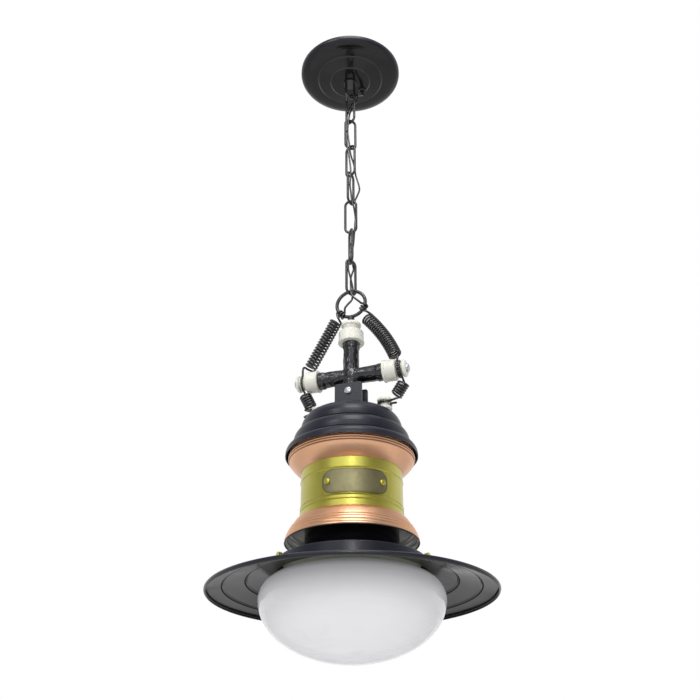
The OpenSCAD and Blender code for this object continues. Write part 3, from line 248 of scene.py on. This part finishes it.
def right_route():
    """The right lamp wire, in the same way."""
    start = [(1.8, -6.8, -431.6), (3.4, -8, -437), (8.6, -7.4, -443.5), (14, -5.6, -448.5)]
    p = joined(through(vectors(start), ROUTE_STEPS), [(15.4, -4.4, -450)], knot(-13, -42))
    p = joined(p, [(22.6, -4.9, -465)],
               coil([(22.5, -473.5), (49, -504.5), (61.5, -539)], -1, UPPER_RIGHT_COIL, 0, 1))
    p = joined(p, [(60, -4.6, -542.8), (66.4, -6.8, -546.4)], neck_wrap(1, 2.4, 540))
    p = joined(p, [(71, 5, -577.4)],
               coil([(72.2, -583), (67, -590.8), (61.8, -598.6)], -1, LOWER_COIL, 90, -1))
    p = joined(p, [(65.2, -5.4, -605.5), (58.5, -6.6, -607.6)], spool_wrap(1))
    return p, loose_end(p[-1], [(55.2, -3.4, 0.1), (59.2, -5.6, 0.5), (63, -7.2, 1.4)])


# Mesh tools

# Sides of a wire, and the least distance in millimetres between two of its rings
SIDES, LEAST_STEP = 14, 0.15
# Widths of the rings that round off a wire's end, and the end's length against a half ball's
END_WIDTHS, END_LENGTH = (0.92, 0.7, 0.38), 0.8


def add_object(name, verts, faces, look, smooth=True):
    mesh = bpy.data.meshes.new(name)
    mesh.from_pydata(verts, [], faces)
    mesh.validate()
    mesh.materials.append(look)
    for f in mesh.polygons:
        f.use_smooth = smooth
    obj = bpy.data.objects.new(name, mesh)
    bpy.context.collection.objects.link(obj)
    return obj


def rounding(ring, d, way):
    """The narrowing rings beyond a tube's end, each as point, direction, side and width."""
    p, t, v, _ = ring
    return [(p + way * t * d * 0.5 * math.sqrt(1 - f * f) * END_LENGTH, t, v, f)
            for f in END_WIDTHS]


def tube_mesh(points, d, verts, faces, round_ends=True):
    """Adds a smooth tube of diameter d along the points to verts and faces, in metres."""
    pts = [points[0]]
    for p in points[1:]:
        if (p - pts[-1]).length > LEAST_STEP:
            pts.append(p)
    n = len(pts)
    tan = [(pts[min(i + 1, n - 1)] - pts[max(i - 1, 0)]).normalized() for i in range(n)]
    side = Vector((0, 0, 1)) if abs(tan[0].z) < 0.9 else Vector((1, 0, 0))
    rings = []
    for p, t in zip(pts, tan):
        side = (side - side.dot(t) * t).normalized()
        rings.append((p, t, side.copy(), 1.0))
    if round_ends:
        rings = rounding(rings[0], d, -1)[::-1] + rings + rounding(rings[-1], d, 1)
    base = len(verts)
    for p, t, v, width in rings:
        w = t.cross(v)
        for j in range(SIDES):
            a = 2 * math.pi * j / SIDES
            verts.append((p + d / 2 * width * (math.cos(a) * v + math.sin(a) * w)) * MM)
    last = base + (len(rings) - 1) * SIDES
    for row in range(base, last, SIDES):
        for j in range(SIDES):
            a, b = row + j, row + (j + 1) % SIDES
            faces.append((a, b, b + SIDES, a + SIDES))
    faces.append(tuple(base + j for j in reversed(range(SIDES))))
    faces.append(tuple(last + j for j in range(SIDES)))


def cut(pts, top, bottom):
    """The stretch of a falling route between two heights, with exact ends."""
    out = []
    for a, b in zip(pts[:-1], pts[1:]):
        if a.z >= top > b.z:
            f = (a.z - top) / (a.z - b.z)
            out = [a + f * (b - a)]
        if out and a.z < top:
            out.append(a)
        if out and a.z >= bottom > b.z:
            f = (a.z - bottom) / (a.z - b.z)
            out.append(a + f * (b - a))
            break
    return out


# Node tools

class Tree:
    """Short names for making and joining nodes."""

    def __init__(self, tree):
        self.tree = tree

    def node(self, kind, **props):
        n = self.tree.nodes.new(kind)
        for k, v in props.items():
            setattr(n, k, v)
        return n

    def link(self, a, b):
        self.tree.links.new(a, b)

    def feed(self, value, sock):
        """Links an output to the socket, or sets the socket to a number or a colour."""
        if isinstance(value, (int, float)):
            sock.default_value = value
        elif isinstance(value, tuple):
            sock.default_value = (*value, 1)
        else:
            self.link(value, sock)

    def math(self, op, a, b=None):
        n = self.node("ShaderNodeMath", operation=op)
        self.feed(a, n.inputs[0])
        if b is not None:
            self.feed(b, n.inputs[1])
        return n.outputs[0]

    def length(self, a, b):
        """The long side of a right triangle."""
        squares = [self.math("MULTIPLY", v, v) for v in (a, b)]
        return self.math("SQRT", self.math("ADD", *squares))

    def parts(self, vector):
        """The x, y and z of a vector."""
        n = self.node("ShaderNodeSeparateXYZ")
        self.link(vector, n.inputs[0])
        return n.outputs

    def spread(self, value, low=0.3, high=0.7, out0=0.0, out1=1.0):
        """From low to high, a value that goes from out0 to out1."""
        n = self.node("ShaderNodeMapRange")
        n.inputs["From Min"].default_value = low
        n.inputs["From Max"].default_value = high
        n.inputs["To Min"].default_value = out0
        n.inputs["To Max"].default_value = out1
        self.link(value, n.inputs["Value"])
        return n.outputs["Result"]

    def near(self, value, place, wide, narrow):
        """1 within narrow of a place, falling to 0 at wide."""
        away = self.math("ABSOLUTE", self.math("SUBTRACT", value, place))
        return self.spread(away, wide, narrow)

    def pick(self, fac, a, b):
        """Shader a where fac is 0, and b where it is 1."""
        n = self.node("ShaderNodeMixShader")
        for value, sock in zip((fac, a, b), n.inputs):
            self.link(value, sock)
        return n.outputs[0]


class Shade(Tree):
    """One procedural material. Keywords set the shader's sockets."""

    def __init__(self, name, **sockets):
        self.mat = bpy.data.materials.new(name)
        self.mat.use_nodes = True
        super().__init__(self.mat.node_tree)
        self.bsdf = self.tree.nodes["Principled BSDF"]
        for k, v in sockets.items():
            key = k.replace("_", " ")
            sock = next(s for s in self.bsdf.inputs if s.name.lower() == key)
            sock.default_value = v
        self.place = self.node("ShaderNodeTexCoord").outputs["Object"]
        self.normal = None

    def xyz(self):
        return self.parts(self.place)

    def facing(self):
        """The x, y and z of the way that the surface faces."""
        return self.parts(self.node("ShaderNodeNewGeometry").outputs["True Normal"])

    def reach(self):
        """Distance from the lamp's axis."""
        x, y, _ = self.xyz()
        return self.length(x, y)

    def rings(self, across, down, detail=3, rough=0.6):
        """Noise in rings round the axis, with so many changes a metre across and down."""
        spot = self.node("ShaderNodeCombineXYZ")
        self.link(self.math("MULTIPLY", self.reach(), across), spot.inputs[0])
        self.link(self.math("MULTIPLY", self.xyz()[2], down), spot.inputs[2])
        return self.noise(1, detail, rough, vec=spot.outputs[0])

    def noise(self, scale, detail=4, rough=0.6, distort=0.0, vec=None):
        n = self.node("ShaderNodeTexNoise")
        n.inputs["Scale"].default_value = scale
        n.inputs["Detail"].default_value = detail
        n.inputs["Roughness"].default_value = rough
        n.inputs["Distortion"].default_value = distort
        self.link(vec or self.place, n.inputs["Vector"])
        return n.outputs["Fac"]

    def mix(self, fac, a, b):
        n = self.node("ShaderNodeMix", data_type="RGBA")
        self.link(fac, n.inputs[0])
        self.feed(a, n.inputs[6])
        self.feed(b, n.inputs[7])
        return n.outputs[2]

    def cloudy(self, scale, a, b, low=0.3, high=0.7, detail=4, rough=0.6):
        """Two close colours in soft clouds."""
        return self.mix(self.spread(self.noise(scale, detail, rough), low, high), a, b)

    def tint(self, under, mask, share, over):
        """A share of the colour over, where the mask is 1, on the colour under."""
        return self.mix(self.math("MULTIPLY", mask, share), under, over)

    def pointiness(self):
        return self.node("ShaderNodeNewGeometry").outputs["Pointiness"]

    def edges(self, low, high):
        return self.spread(self.pointiness(), low, high)

    def cavities(self, low, high):
        return self.spread(self.pointiness(), low, high, 1.0, 0.0)

    def uneven(self, scale, smooth, dull, detail=4, rough=0.6):
        """Roughness that drifts from smooth to dull."""
        return self.spread(self.noise(scale, detail, rough), out0=smooth, out1=dull)

    def color(self, out):
        self.link(out, self.bsdf.inputs["Base Color"])

    def rough(self, out):
        self.link(out, self.bsdf.inputs["Roughness"])

    def bump(self, height, strength, distance):
        n = self.node("ShaderNodeBump")
        n.inputs["Strength"].default_value = strength
        n.inputs["Distance"].default_value = distance
        self.link(height, n.inputs["Height"])
        if self.normal is not None:
            self.link(self.normal, n.inputs["Normal"])
        self.normal = n.outputs[0]
        self.link(self.normal, self.bsdf.inputs["Normal"])


# Materials: places are in metres, colours are linear

# Radii of the shade's steps, where thin lines of painted shade go, and of the canopy's rings,
# where pale lines of painted highlight go, and the heights between which those highlight lines
# come in, below the canopy and above the rest
SHADE_STEPS, CANOPY_RINGS, RINGS_ABOVE = (0.1272, 0.1544), (0.0322, 0.0521), (-0.06, -0.05)
# Heights of painted shade lines in the upper bell's grooves between its beads, and the lip
# at the mouth of the lower one
BELL_GROOVE_SHADE, BELL_MOUTH = (-0.6801, -0.68315, -0.6864), (-0.7906, -0.7911)
# Nameplate: azimuth and half its angle in degrees, then radius, middle, half height, corners
PLATE_AZIMUTH, PLATE_HALF_ANGLE = 292, 37
PLATE_R, PLATE_Z, PLATE_HALF_H, PLATE_CORNER = 0.0655, -0.7325, 0.015, 0.0115
# Globe: where its veins, the painted shade on its neck and its painted glow begin and are full
GLOBE_VEINS, GLOBE_NECK_SHADE, GLOBE_PAINTED_GLOW = (-0.9, -0.925), (-0.846, -0.832), (-0.885, -0.845)


def spun_black():
    """Satin blue-black paint, smoother and blacker where a surface faces down."""
    s = Shade("spun_black_paint", specular_ior_level=0.4)
    reach = s.reach()
    under = s.spread(s.facing()[2], -0.35, -0.75)
    c = s.cloudy(9, (0.0095, 0.0102, 0.0185), (0.014, 0.0152, 0.0265))
    c = s.tint(c, s.edges(0.53, 0.6), 0.3, (0.05, 0.051, 0.062))
    c = s.mix(under, c, (0.006, 0.006, 0.0075))
    # Painted shade: thin dark lines at the shade's steps, on surfaces that face down, also made
    # dull
    steps = s.math("MAXIMUM", *[s.near(reach, step, 0.0011, 0.0005) for step in SHADE_STEPS])
    painted_step_shade = s.math("MULTIPLY", steps, under)
    c = s.mix(painted_step_shade, c, (0.001, 0.001, 0.001))
    # Painted highlight: pale lines along the canopy's rings, kept to the canopy's height
    canopy = s.spread(s.xyz()[2], *RINGS_ABOVE)
    for ring in CANOPY_RINGS:
        ring_highlight = s.math("MULTIPLY", s.near(reach, ring, 0.0011, 0.0004), canopy)
        c = s.tint(c, ring_highlight, 0.8, (0.03, 0.03, 0.035))
    s.color(c)
    patch = s.spread(s.noise(11, 3, 0.5, distort=0.6), 0.35, 0.65, 0.04, 0.18)
    satin = s.math("SUBTRACT", s.uneven(34, 0.26, 0.34), s.math("MULTIPLY", under, patch))
    s.rough(s.math("MAXIMUM", satin, painted_step_shade))
    s.bump(s.rings(520, 520, 2, 0.5), 0.1, 0.00012)
    s.bump(s.noise(1400, 2, 0.5), 0.1, 0.0001)
    return s.mat


def gloss_black(name="gloss_black", lumps=0.0):
    """Gloss black paint, on a lumpy coat or on smooth metal."""
    s = Shade(name, specular_ior_level=0.85 if lumps else 0.5)
    s.color(s.cloudy(26, (0.003, 0.003, 0.0045), (0.007, 0.007, 0.0095)))
    s.rough(s.uneven(60, 0.12, 0.2))
    if lumps:
        s.bump(s.noise(110, 2, 0.5, distort=0.8), lumps, 0.0016)
    else:
        s.bump(s.noise(900, 2, 0.5), 0.06, 0.0001)
    return s.mat


def black_rod():
    s = Shade("black_rod", specular_ior_level=0.9)
    c = s.cloudy(90, (0.006, 0.006, 0.008), (0.013, 0.013, 0.016), low=0.35)
    s.color(s.tint(c, s.edges(0.54, 0.62), 0.3, (0.07, 0.068, 0.064)))
    s.rough(s.uneven(160, 0.22, 0.34))
    s.bump(s.noise(300, 2, 0.5), 0.08, 0.0002)
    return s.mat


def insulation(name, dark, light):
    s = Shade(name, specular_ior_level=1.0)
    s.color(s.cloudy(120, dark, light, detail=3))
    s.rough(s.uneven(300, 0.12, 0.2, detail=3))
    s.bump(s.noise(500, 2, 0.5), 0.12, 0.00012)
    return s.mat


def porcelain():
    s = Shade("porcelain", specular_ior_level=0.5)
    c = s.cloudy(60, (0.72, 0.71, 0.63), (0.8, 0.79, 0.725), high=0.72)
    s.color(s.tint(c, s.cavities(0.43, 0.49), 0.55, (0.42, 0.4, 0.32)))
    s.rough(s.uneven(150, 0.18, 0.3, detail=3))
    s.bump(s.noise(130, 2, 0.5), 0.04, 0.0003)
    return s.mat


def copper(name, smooth, dull, body=1.0, groove_shade=(), lined=False):
    """Copper with spinning lines, and dark lines of painted shade in grooves at the given
    heights.

    The lined one is plain grey metal inside and black at its mouth.
    """
    s = Shade(name, metallic=body, specular_ior_level=0.5)
    x, y, z = s.xyz()
    ridges = s.rings(900, 900)
    c = s.cloudy(22, (0.84, 0.455, 0.26), (0.93, 0.54, 0.335))
    c = s.tint(c, s.cavities(0.42, 0.49), 0.7, (0.36, 0.16, 0.085))
    # Painted shade: a dark line in each groove between the beads
    for groove in groove_shade:
        c = s.tint(c, s.near(z, groove, 0.001, 0.0003), 0.9, (0.22, 0.085, 0.04))
    gloss = s.spread(ridges, out0=smooth, out1=dull)
    if lined:
        face_x, face_y, _ = s.facing()
        outward = s.math("ADD", s.math("MULTIPLY", face_x, x), s.math("MULTIPLY", face_y, y))
        inner = s.spread(outward, -0.001, -0.006)
        mouth = s.spread(z, *BELL_MOUTH)
        c = s.mix(inner, c, (0.7, 0.7, 0.67))
        c = s.mix(mouth, c, (0.012, 0.012, 0.013))
        s.link(s.math("SUBTRACT", 1.0, mouth), s.bsdf.inputs["Metallic"])
        lining = s.math("MAXIMUM", inner, mouth)
        ridges = s.math("MULTIPLY", ridges, s.math("SUBTRACT", 1.0, lining))
        gloss = s.math("MAXIMUM", gloss, s.math("MULTIPLY", lining, 0.42))
    s.color(c)
    s.rough(gloss)
    s.bump(ridges, 0.14, 0.00012)
    return s.mat


def brass():
    s = Shade("polished_brass", metallic=1.0, specular_ior_level=0.5, coat_weight=0.6,
              coat_roughness=0.2)
    ridges = s.rings(700, 700)
    c = s.cloudy(16, (0.52, 0.48, 0.072), (0.63, 0.585, 0.1))
    s.color(s.tint(c, s.cavities(0.43, 0.495), 0.7, (0.14, 0.115, 0.025)))
    s.rough(s.spread(ridges, out0=0.34, out1=0.46))
    s.bump(ridges, 0.1, 0.0001)
    return s.mat


def dark_bronze():
    """Worn bronze plate with a thin darker line just inside its outline."""
    s = Shade("dark_bronze", metallic=1.0, specular_ior_level=0.5)
    x, y, z = s.xyz()
    a = math.radians(PLATE_AZIMUTH)
    out = s.math("ADD", s.math("MULTIPLY", x, math.cos(a)), s.math("MULTIPLY", y, math.sin(a)))
    across = s.math("SUBTRACT", s.math("MULTIPLY", y, math.cos(a)),
                    s.math("MULTIPLY", x, math.sin(a)))
    run = s.math("ABSOLUTE", s.math("MULTIPLY", s.math("ARCTAN2", across, out), PLATE_R))
    rise = s.math("ABSOLUTE", s.math("SUBTRACT", z, PLATE_Z))
    half_run = math.radians(PLATE_HALF_ANGLE) * PLATE_R
    past_x = s.math("MAXIMUM", s.math("SUBTRACT", run, half_run - PLATE_CORNER), 0.0)
    past_z = s.math("MAXIMUM", s.math("SUBTRACT", rise, PLATE_HALF_H - PLATE_CORNER), 0.0)
    border = s.spread(s.length(past_x, past_z), 0.0094, 0.01)
    c = s.cloudy(80, (0.12, 0.11, 0.063), (0.2, 0.184, 0.105), 0.35, 0.65, 5, 0.65)
    c = s.tint(c, s.spread(s.rings(0, 900), 0.4, 0.75), 0.4, (0.34, 0.31, 0.17))
    c = s.tint(c, border, 0.8, (0.045, 0.04, 0.026))
    s.color(s.tint(c, s.edges(0.51, 0.55), 0.4, (0.45, 0.41, 0.22)))
    s.rough(s.uneven(220, 0.38, 0.56))
    s.bump(s.noise(900, 3), 0.25, 0.0001)
    return s.mat


def zinc():
    s = Shade("zinc", metallic=1.0, specular_ior_level=0.5)
    c = s.cloudy(180, (0.58, 0.6, 0.63), (0.74, 0.76, 0.79))
    s.color(s.tint(c, s.cavities(0.42, 0.48), 0.7, (0.12, 0.12, 0.13)))
    s.rough(s.uneven(260, 0.2, 0.42))
    s.bump(s.noise(1200, 3), 0.12, 0.0001)
    return s.mat


def plain_plastic():
    s = Shade("black_plastic", specular_ior_level=0.5)
    s.color(s.cloudy(60, (0.014, 0.014, 0.014), (0.028, 0.028, 0.028), detail=3))
    s.rough(s.uneven(300, 0.42, 0.58, detail=3))
    s.bump(s.noise(1500, 2, 0.5), 0.2, 0.0001)
    return s.mat


def opal():
    """White glass with faint veins low down, painted shade on its neck and a painted glow high
    up.
    """
    s = Shade("opal_glass", specular_ior_level=0.55, emission_strength=1.0)
    z = s.xyz()[2]
    neck_shade = s.spread(z, *GLOBE_NECK_SHADE)
    c = s.cloudy(7, (0.77, 0.77, 0.795), (0.81, 0.808, 0.835), detail=3, rough=0.55)
    vein = s.spread(s.noise(16, distort=1.6), 0.56, 0.7)
    c = s.tint(c, s.math("MULTIPLY", vein, s.spread(z, *GLOBE_VEINS)), 0.35, (0.6, 0.6, 0.61))
    # Painted shade: the neck, down in the collar, made dimmer and olive
    s.color(s.tint(c, neck_shade, 0.6, (0.5, 0.5, 0.44)))
    # A painted glow in place of light carried through the glass, growing towards the top, and
    # dimmer on the neck
    painted_glow = s.mix(s.spread(z, *GLOBE_PAINTED_GLOW), (0.0, 0.0, 0.0), (0.18, 0.18, 0.186))
    s.link(s.mix(neck_shade, painted_glow, (0.035, 0.035, 0.028)), s.bsdf.inputs["Emission Color"])
    s.rough(s.uneven(14, 0.025, 0.05, 3, 0.5))
    s.bump(s.noise(9, 2, 0.4), 0.05, 0.002)
    return s.mat


def bulb():
    s = Shade("bulb_glass", specular_ior_level=0.5, transmission_weight=0.35)
    s.color(s.cloudy(30, (0.82, 0.82, 0.78), (0.9, 0.9, 0.87), detail=3))
    s.rough(s.uneven(200, 0.3, 0.4, detail=3))
    return s.mat


LOOKS = {
    "black_paint": spun_black(),
    "black_steel": black_rod(),
    "gloss_black_iron": gloss_black("rough_cast_enamel", 0.6),
    "neck_paint": gloss_black(),
    "zinc": zinc(),
    "black_plastic": plain_plastic(),
    "wire_cover": insulation("wire_cover", (0.005, 0.005, 0.0065), (0.01, 0.01, 0.012)),
    "lead_cover": insulation("lead_cover", (0.62, 0.56, 0.42), (0.72, 0.66, 0.52)),
    "porcelain": porcelain(),
    "copper": copper("polished_copper", 0.27, 0.4, body=0.68, groove_shade=BELL_GROOVE_SHADE),
    "brass": brass(),
    "copper_lined": copper("copper_lined", 0.26, 0.39, lined=True),
    "dark_bronze": dark_bronze(),
    "opal_glass": opal(),
    "bulb_glass": bulb(),
    "bulb_metal": zinc(),
}
SLOT_OF = {s["node"]: s["material_slot"] for s in frame["record"]["subparts"]}


def paint_nodes():
    """Each CAD node in its slot's look, but the lower bell in the lined copper."""
    for name, obj in frame["nodes"].items():
        look = LOOKS["copper_lined" if name == "lower_bell" else SLOT_OF[name]]
        mesh = obj.data
        if not mesh.materials:
            mesh.materials.append(look)
        for i in range(len(mesh.materials)):
            mesh.materials[i] = look


paint_nodes()


# Wires

def make_flex(left, right):
    """The twin flex from the terminal block to the lamp wires, a stretch for each joint."""
    strands = [through(vectors(inside) + [polar(q) for q in flex] + [wire[ROUTE_STEPS]],
                       FLEX_STEPS)
               for inside, flex, wire in ((CANOPY_A, FLEX_A, left), (CANOPY_B, FLEX_B, right))]
    cuts = [CHAIN_TOP - PITCH * (k + 0.5) for k in range(LINKS)] + [FLEX_FOOT]
    for k in range(LINKS + 1):
        verts, faces = [], []
        for strand in strands:
            if k == 0:
                pts = [p for p in strand if p.z > CANOPY_RUN_FOOT]
                pts += cut(strand, CANOPY_RUN_FOOT, cuts[0])
            else:
                pts = cut(strand, cuts[k - 1], cuts[k])
            tube_mesh(pts, FLEX_D, verts, faces, round_ends=False)
        obj = add_object("flex_run_%d" % k, verts, faces, LOOKS["wire_cover"])
        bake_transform(obj)
        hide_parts("canopy_flex" if k == 0 else "flex_%d" % k)


def make_lamp_wire(name, route, end):
    """One lamp wire, from where its strand of the flex stops to its loose end."""
    verts, faces = [], []
    pts = route[ROUTE_STEPS:] + through([route[-1]] + end, ROUTE_STEPS)[1:]
    tube_mesh(pts, LAMP_WIRE_D, verts, faces)
    obj = add_object(name + "_round", verts, faces, LOOKS["wire_cover"])
    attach(obj, "lamp")
    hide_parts(name)


def make_wires():
    left, left_end = left_route()
    right, right_end = right_route()
    make_flex(left, right)
    make_lamp_wire("left_wire", left, left_end)
    make_lamp_wire("right_wire", right, right_end)


def make_inner_leads():
    """The two covered leads from the spools down through the lamp to the lampholder."""
    verts, faces = [], []
    for side in (-1, 1):
        route = vectors([(side * reach, 0, z) for reach, z in INNER_LEAD])
        tube_mesh(through(route, FLEX_STEPS), INNER_LEAD_D, verts, faces)
    obj = add_object("inner_leads_round", verts, faces, LOOKS["lead_cover"])
    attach(obj, "lamp")
    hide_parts("inner_leads")


# The coated cross, in millimetres

# Reach of its arms, its upper and lower ends, and the top of the stretch that the bracket holds
CROSS_REACH, CROSS_TOP, CROSS_FOOT, HELD_TOP = 45.5, -511.4, -603.5, -572
# At each end a plain stretch, then one over which the lumps grow
PLAIN_END, END_FADE = 1.5, 5
# Radius from which the lumps grow, and over how much, so that the bores stay round
BORE_R, BORE_FADE = 8.5, 1.5
# Noise along and across a tube, its layers as scale and height, the lumps' height and sink
ALONG, ACROSS = 0.05, 0.16
LUMP_LAYERS = ((1, 1.0), (2.7, 0.5), (6, 0.22))
LUMP_H, LUMP_SINK = 0.75, 0.1
# Size of the coat's faces
COAT_FACE = 0.9


def clamped(value):
    return min(max(value, 0), 1)


def even_mesh(source, size):
    """A copy of an object's mesh in even faces of the given size."""
    work = bpy.data.objects.new("cross_work", source.data.copy())
    bpy.context.collection.objects.link(work)
    mod = work.modifiers.new("even", "REMESH")
    mod.mode = "VOXEL"
    mod.voxel_size = size
    mod.use_smooth_shade = True
    graph = bpy.context.evaluated_depsgraph_get()
    mesh = bpy.data.meshes.new_from_object(work.evaluated_get(graph))
    bpy.data.objects.remove(work)
    return mesh


def lump(x, y, z):
    """How far the coat stands out at a point of the cross, or sinks where it is below 0."""
    arm = abs(x) > abs(z - ARM_Z)
    if arm:
        end, out = CROSS_REACH - abs(x), math.hypot(y, z - ARM_Z)
        q = Vector((x * ALONG, y * ACROSS, z * ACROSS))
    else:
        end, out = min(CROSS_TOP - z, z - CROSS_FOOT), math.hypot(x, y)
        q = Vector((x * ACROSS, y * ACROSS, z * ALONG))
    if z < HELD_TOP and not arm:
        return 0
    height = sum(noise.noise(q * scale) * weight for scale, weight in LUMP_LAYERS)
    hold = clamped((end - PLAIN_END) / END_FADE) * clamped((out - BORE_R) / BORE_FADE)
    return (LUMP_H * height - LUMP_SINK) * hold


def make_lumpy_cross():
    """The cross as it looks under its thick, uneven coat: lumps along the tubes, plain ends."""
    mesh = even_mesh(frame["nodes"]["cross_fitting"], COAT_FACE * MM)
    moved = [v.co + v.normal * lump(*(v.co / MM)) * MM for v in mesh.vertices]
    for v, p in zip(mesh.vertices, moved):
        v.co = p
    mesh.materials.clear()
    mesh.materials.append(LOOKS["gloss_black_iron"])
    for f in mesh.polygons:
        f.use_smooth = True
        f.material_index = 0
    obj = bpy.data.objects.new("cross_coated", mesh)
    bpy.context.collection.objects.link(obj)
    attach(obj, "lamp")
    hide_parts("cross_fitting")


make_wires()
make_inner_leads()
make_lumpy_cross()


# Stage and light

FLOOR_Z, FLOOR_HALF = -1.6, 6
# The floor as it shows in gloss, and the strength of the room's even light
FLOOR_IN_GLOSS, ROOM_STRENGTH = (0.6, 0.6, 0.6), 0.6
WHITE, COOL, ROOM = (1, 1, 1), (0.97, 0.98, 1.0), (1.0, 0.995, 1.0)
# The way to the backdrop, behind the lamp as the photograph sees it
TO_BACKDROP = (-0.31, 0.95, 0)
# What gloss shows on the way to the backdrop and on the way up: from where to where it
# changes, and how bright it is at each
BACKDROP, OVERHEAD = (-0.5, 0.4, 0.25, 0.92), (0.3, 0.85, 1.0, 0.5)
# Lights: place, what it points at, width and height, watts, colour
MIDDLE = (0, 0, -0.7)
LIGHTS = {
    "key": ((0.25, -2.05, 0.45), MIDDLE, (3.4, 2.6), 22, COOL),
    "flash": ((0.78, -2.38, -0.05), MIDDLE, (0.3, 0.3), 6.5, COOL),
    "side": ((-0.62, -1.9, 0.9), MIDDLE, (0.5, 0.5), 4, COOL),
    "spot": ((0.42, -1.05, 1.25), MIDDLE, (0.9, 0.9), 14, COOL),
    "top": ((0.1, -0.2, 1.7), MIDDLE, (2.4, 2.4), 10, COOL),
    "low": ((0.15, -0.6, -1.58), (0.15, -0.6, 0), (3.0, 3.0), 6, WHITE),
}


def make_stage():
    """A pale floor, which shows plain grey in gloss so that the lamp's underside stays clean."""
    s = Shade("pale_floor", roughness=0.75, specular_ior_level=0.2)
    s.color(s.cloudy(3, (0.8, 0.8, 0.79), (0.84, 0.84, 0.83), detail=3, rough=0.5))
    glow = s.node("ShaderNodeEmission")
    s.feed(FLOOR_IN_GLOSS, glow.inputs[0])
    glossy = s.node("ShaderNodeLightPath").outputs["Is Glossy Ray"]
    out = next(n for n in s.tree.nodes if n.type == "OUTPUT_MATERIAL")
    s.link(s.pick(glossy, s.bsdf.outputs[0], glow.outputs[0]), out.inputs[0])
    corners = [(x * FLOOR_HALF, y * FLOOR_HALF, FLOOR_Z)
               for x, y in ((-1, -1), (1, -1), (1, 1), (-1, 1))]
    floor = add_object("floor", corners, [(0, 1, 2, 3)], s.mat, smooth=False)


def area(name, where, aim, size, power, color):
    data = bpy.data.lights.new(name, "AREA")
    data.shape = "RECTANGLE"
    data.size, data.size_y = size
    data.energy = power
    data.color = color
    obj = bpy.data.objects.new(name, data)
    bpy.context.collection.objects.link(obj)
    obj.location = where
    obj.rotation_euler = (Vector(aim) - Vector(where)).to_track_quat("-Z", "Y").to_euler()
    obj.visible_camera = False


def make_world():
    """White to the camera and through glass, and an even, dimmer light on the lamp.

    Gloss shows a backdrop that is palest behind the lamp, and darker in front and overhead.
    """
    world = bpy.data.worlds.new("studio")
    bpy.context.scene.world = world
    world.use_nodes = True
    world.node_tree.nodes.clear()
    w = Tree(world.node_tree)

    def sky(color, strength):
        n = w.node("ShaderNodeBackground")
        w.feed(color, n.inputs[0])
        w.feed(strength, n.inputs[1])
        return n.outputs[0]

    way = w.node("ShaderNodeTexCoord").outputs["Generated"]
    dot = w.node("ShaderNodeVectorMath", operation="DOT_PRODUCT")
    dot.inputs[1].default_value = TO_BACKDROP
    w.link(way, dot.inputs[0])
    backdrop = w.spread(dot.outputs["Value"], *BACKDROP)
    overhead = w.spread(w.parts(way)[2], *OVERHEAD)
    in_gloss = sky(WHITE, w.math("MULTIPLY", backdrop, overhead))
    ray = w.node("ShaderNodeLightPath").outputs
    shown = w.pick(ray["Is Glossy Ray"], sky(ROOM, ROOM_STRENGTH), in_gloss)
    for kind in ("Is Transmission Ray", "Is Camera Ray"):
        shown = w.pick(ray[kind], shown, sky(WHITE, 1.0))
    w.link(shown, w.node("ShaderNodeOutputWorld").inputs[0])


make_stage()
make_world()
for name, setting in LIGHTS.items():
    area(name, *setting)
bpy.context.scene.view_settings.view_transform = "Standard"
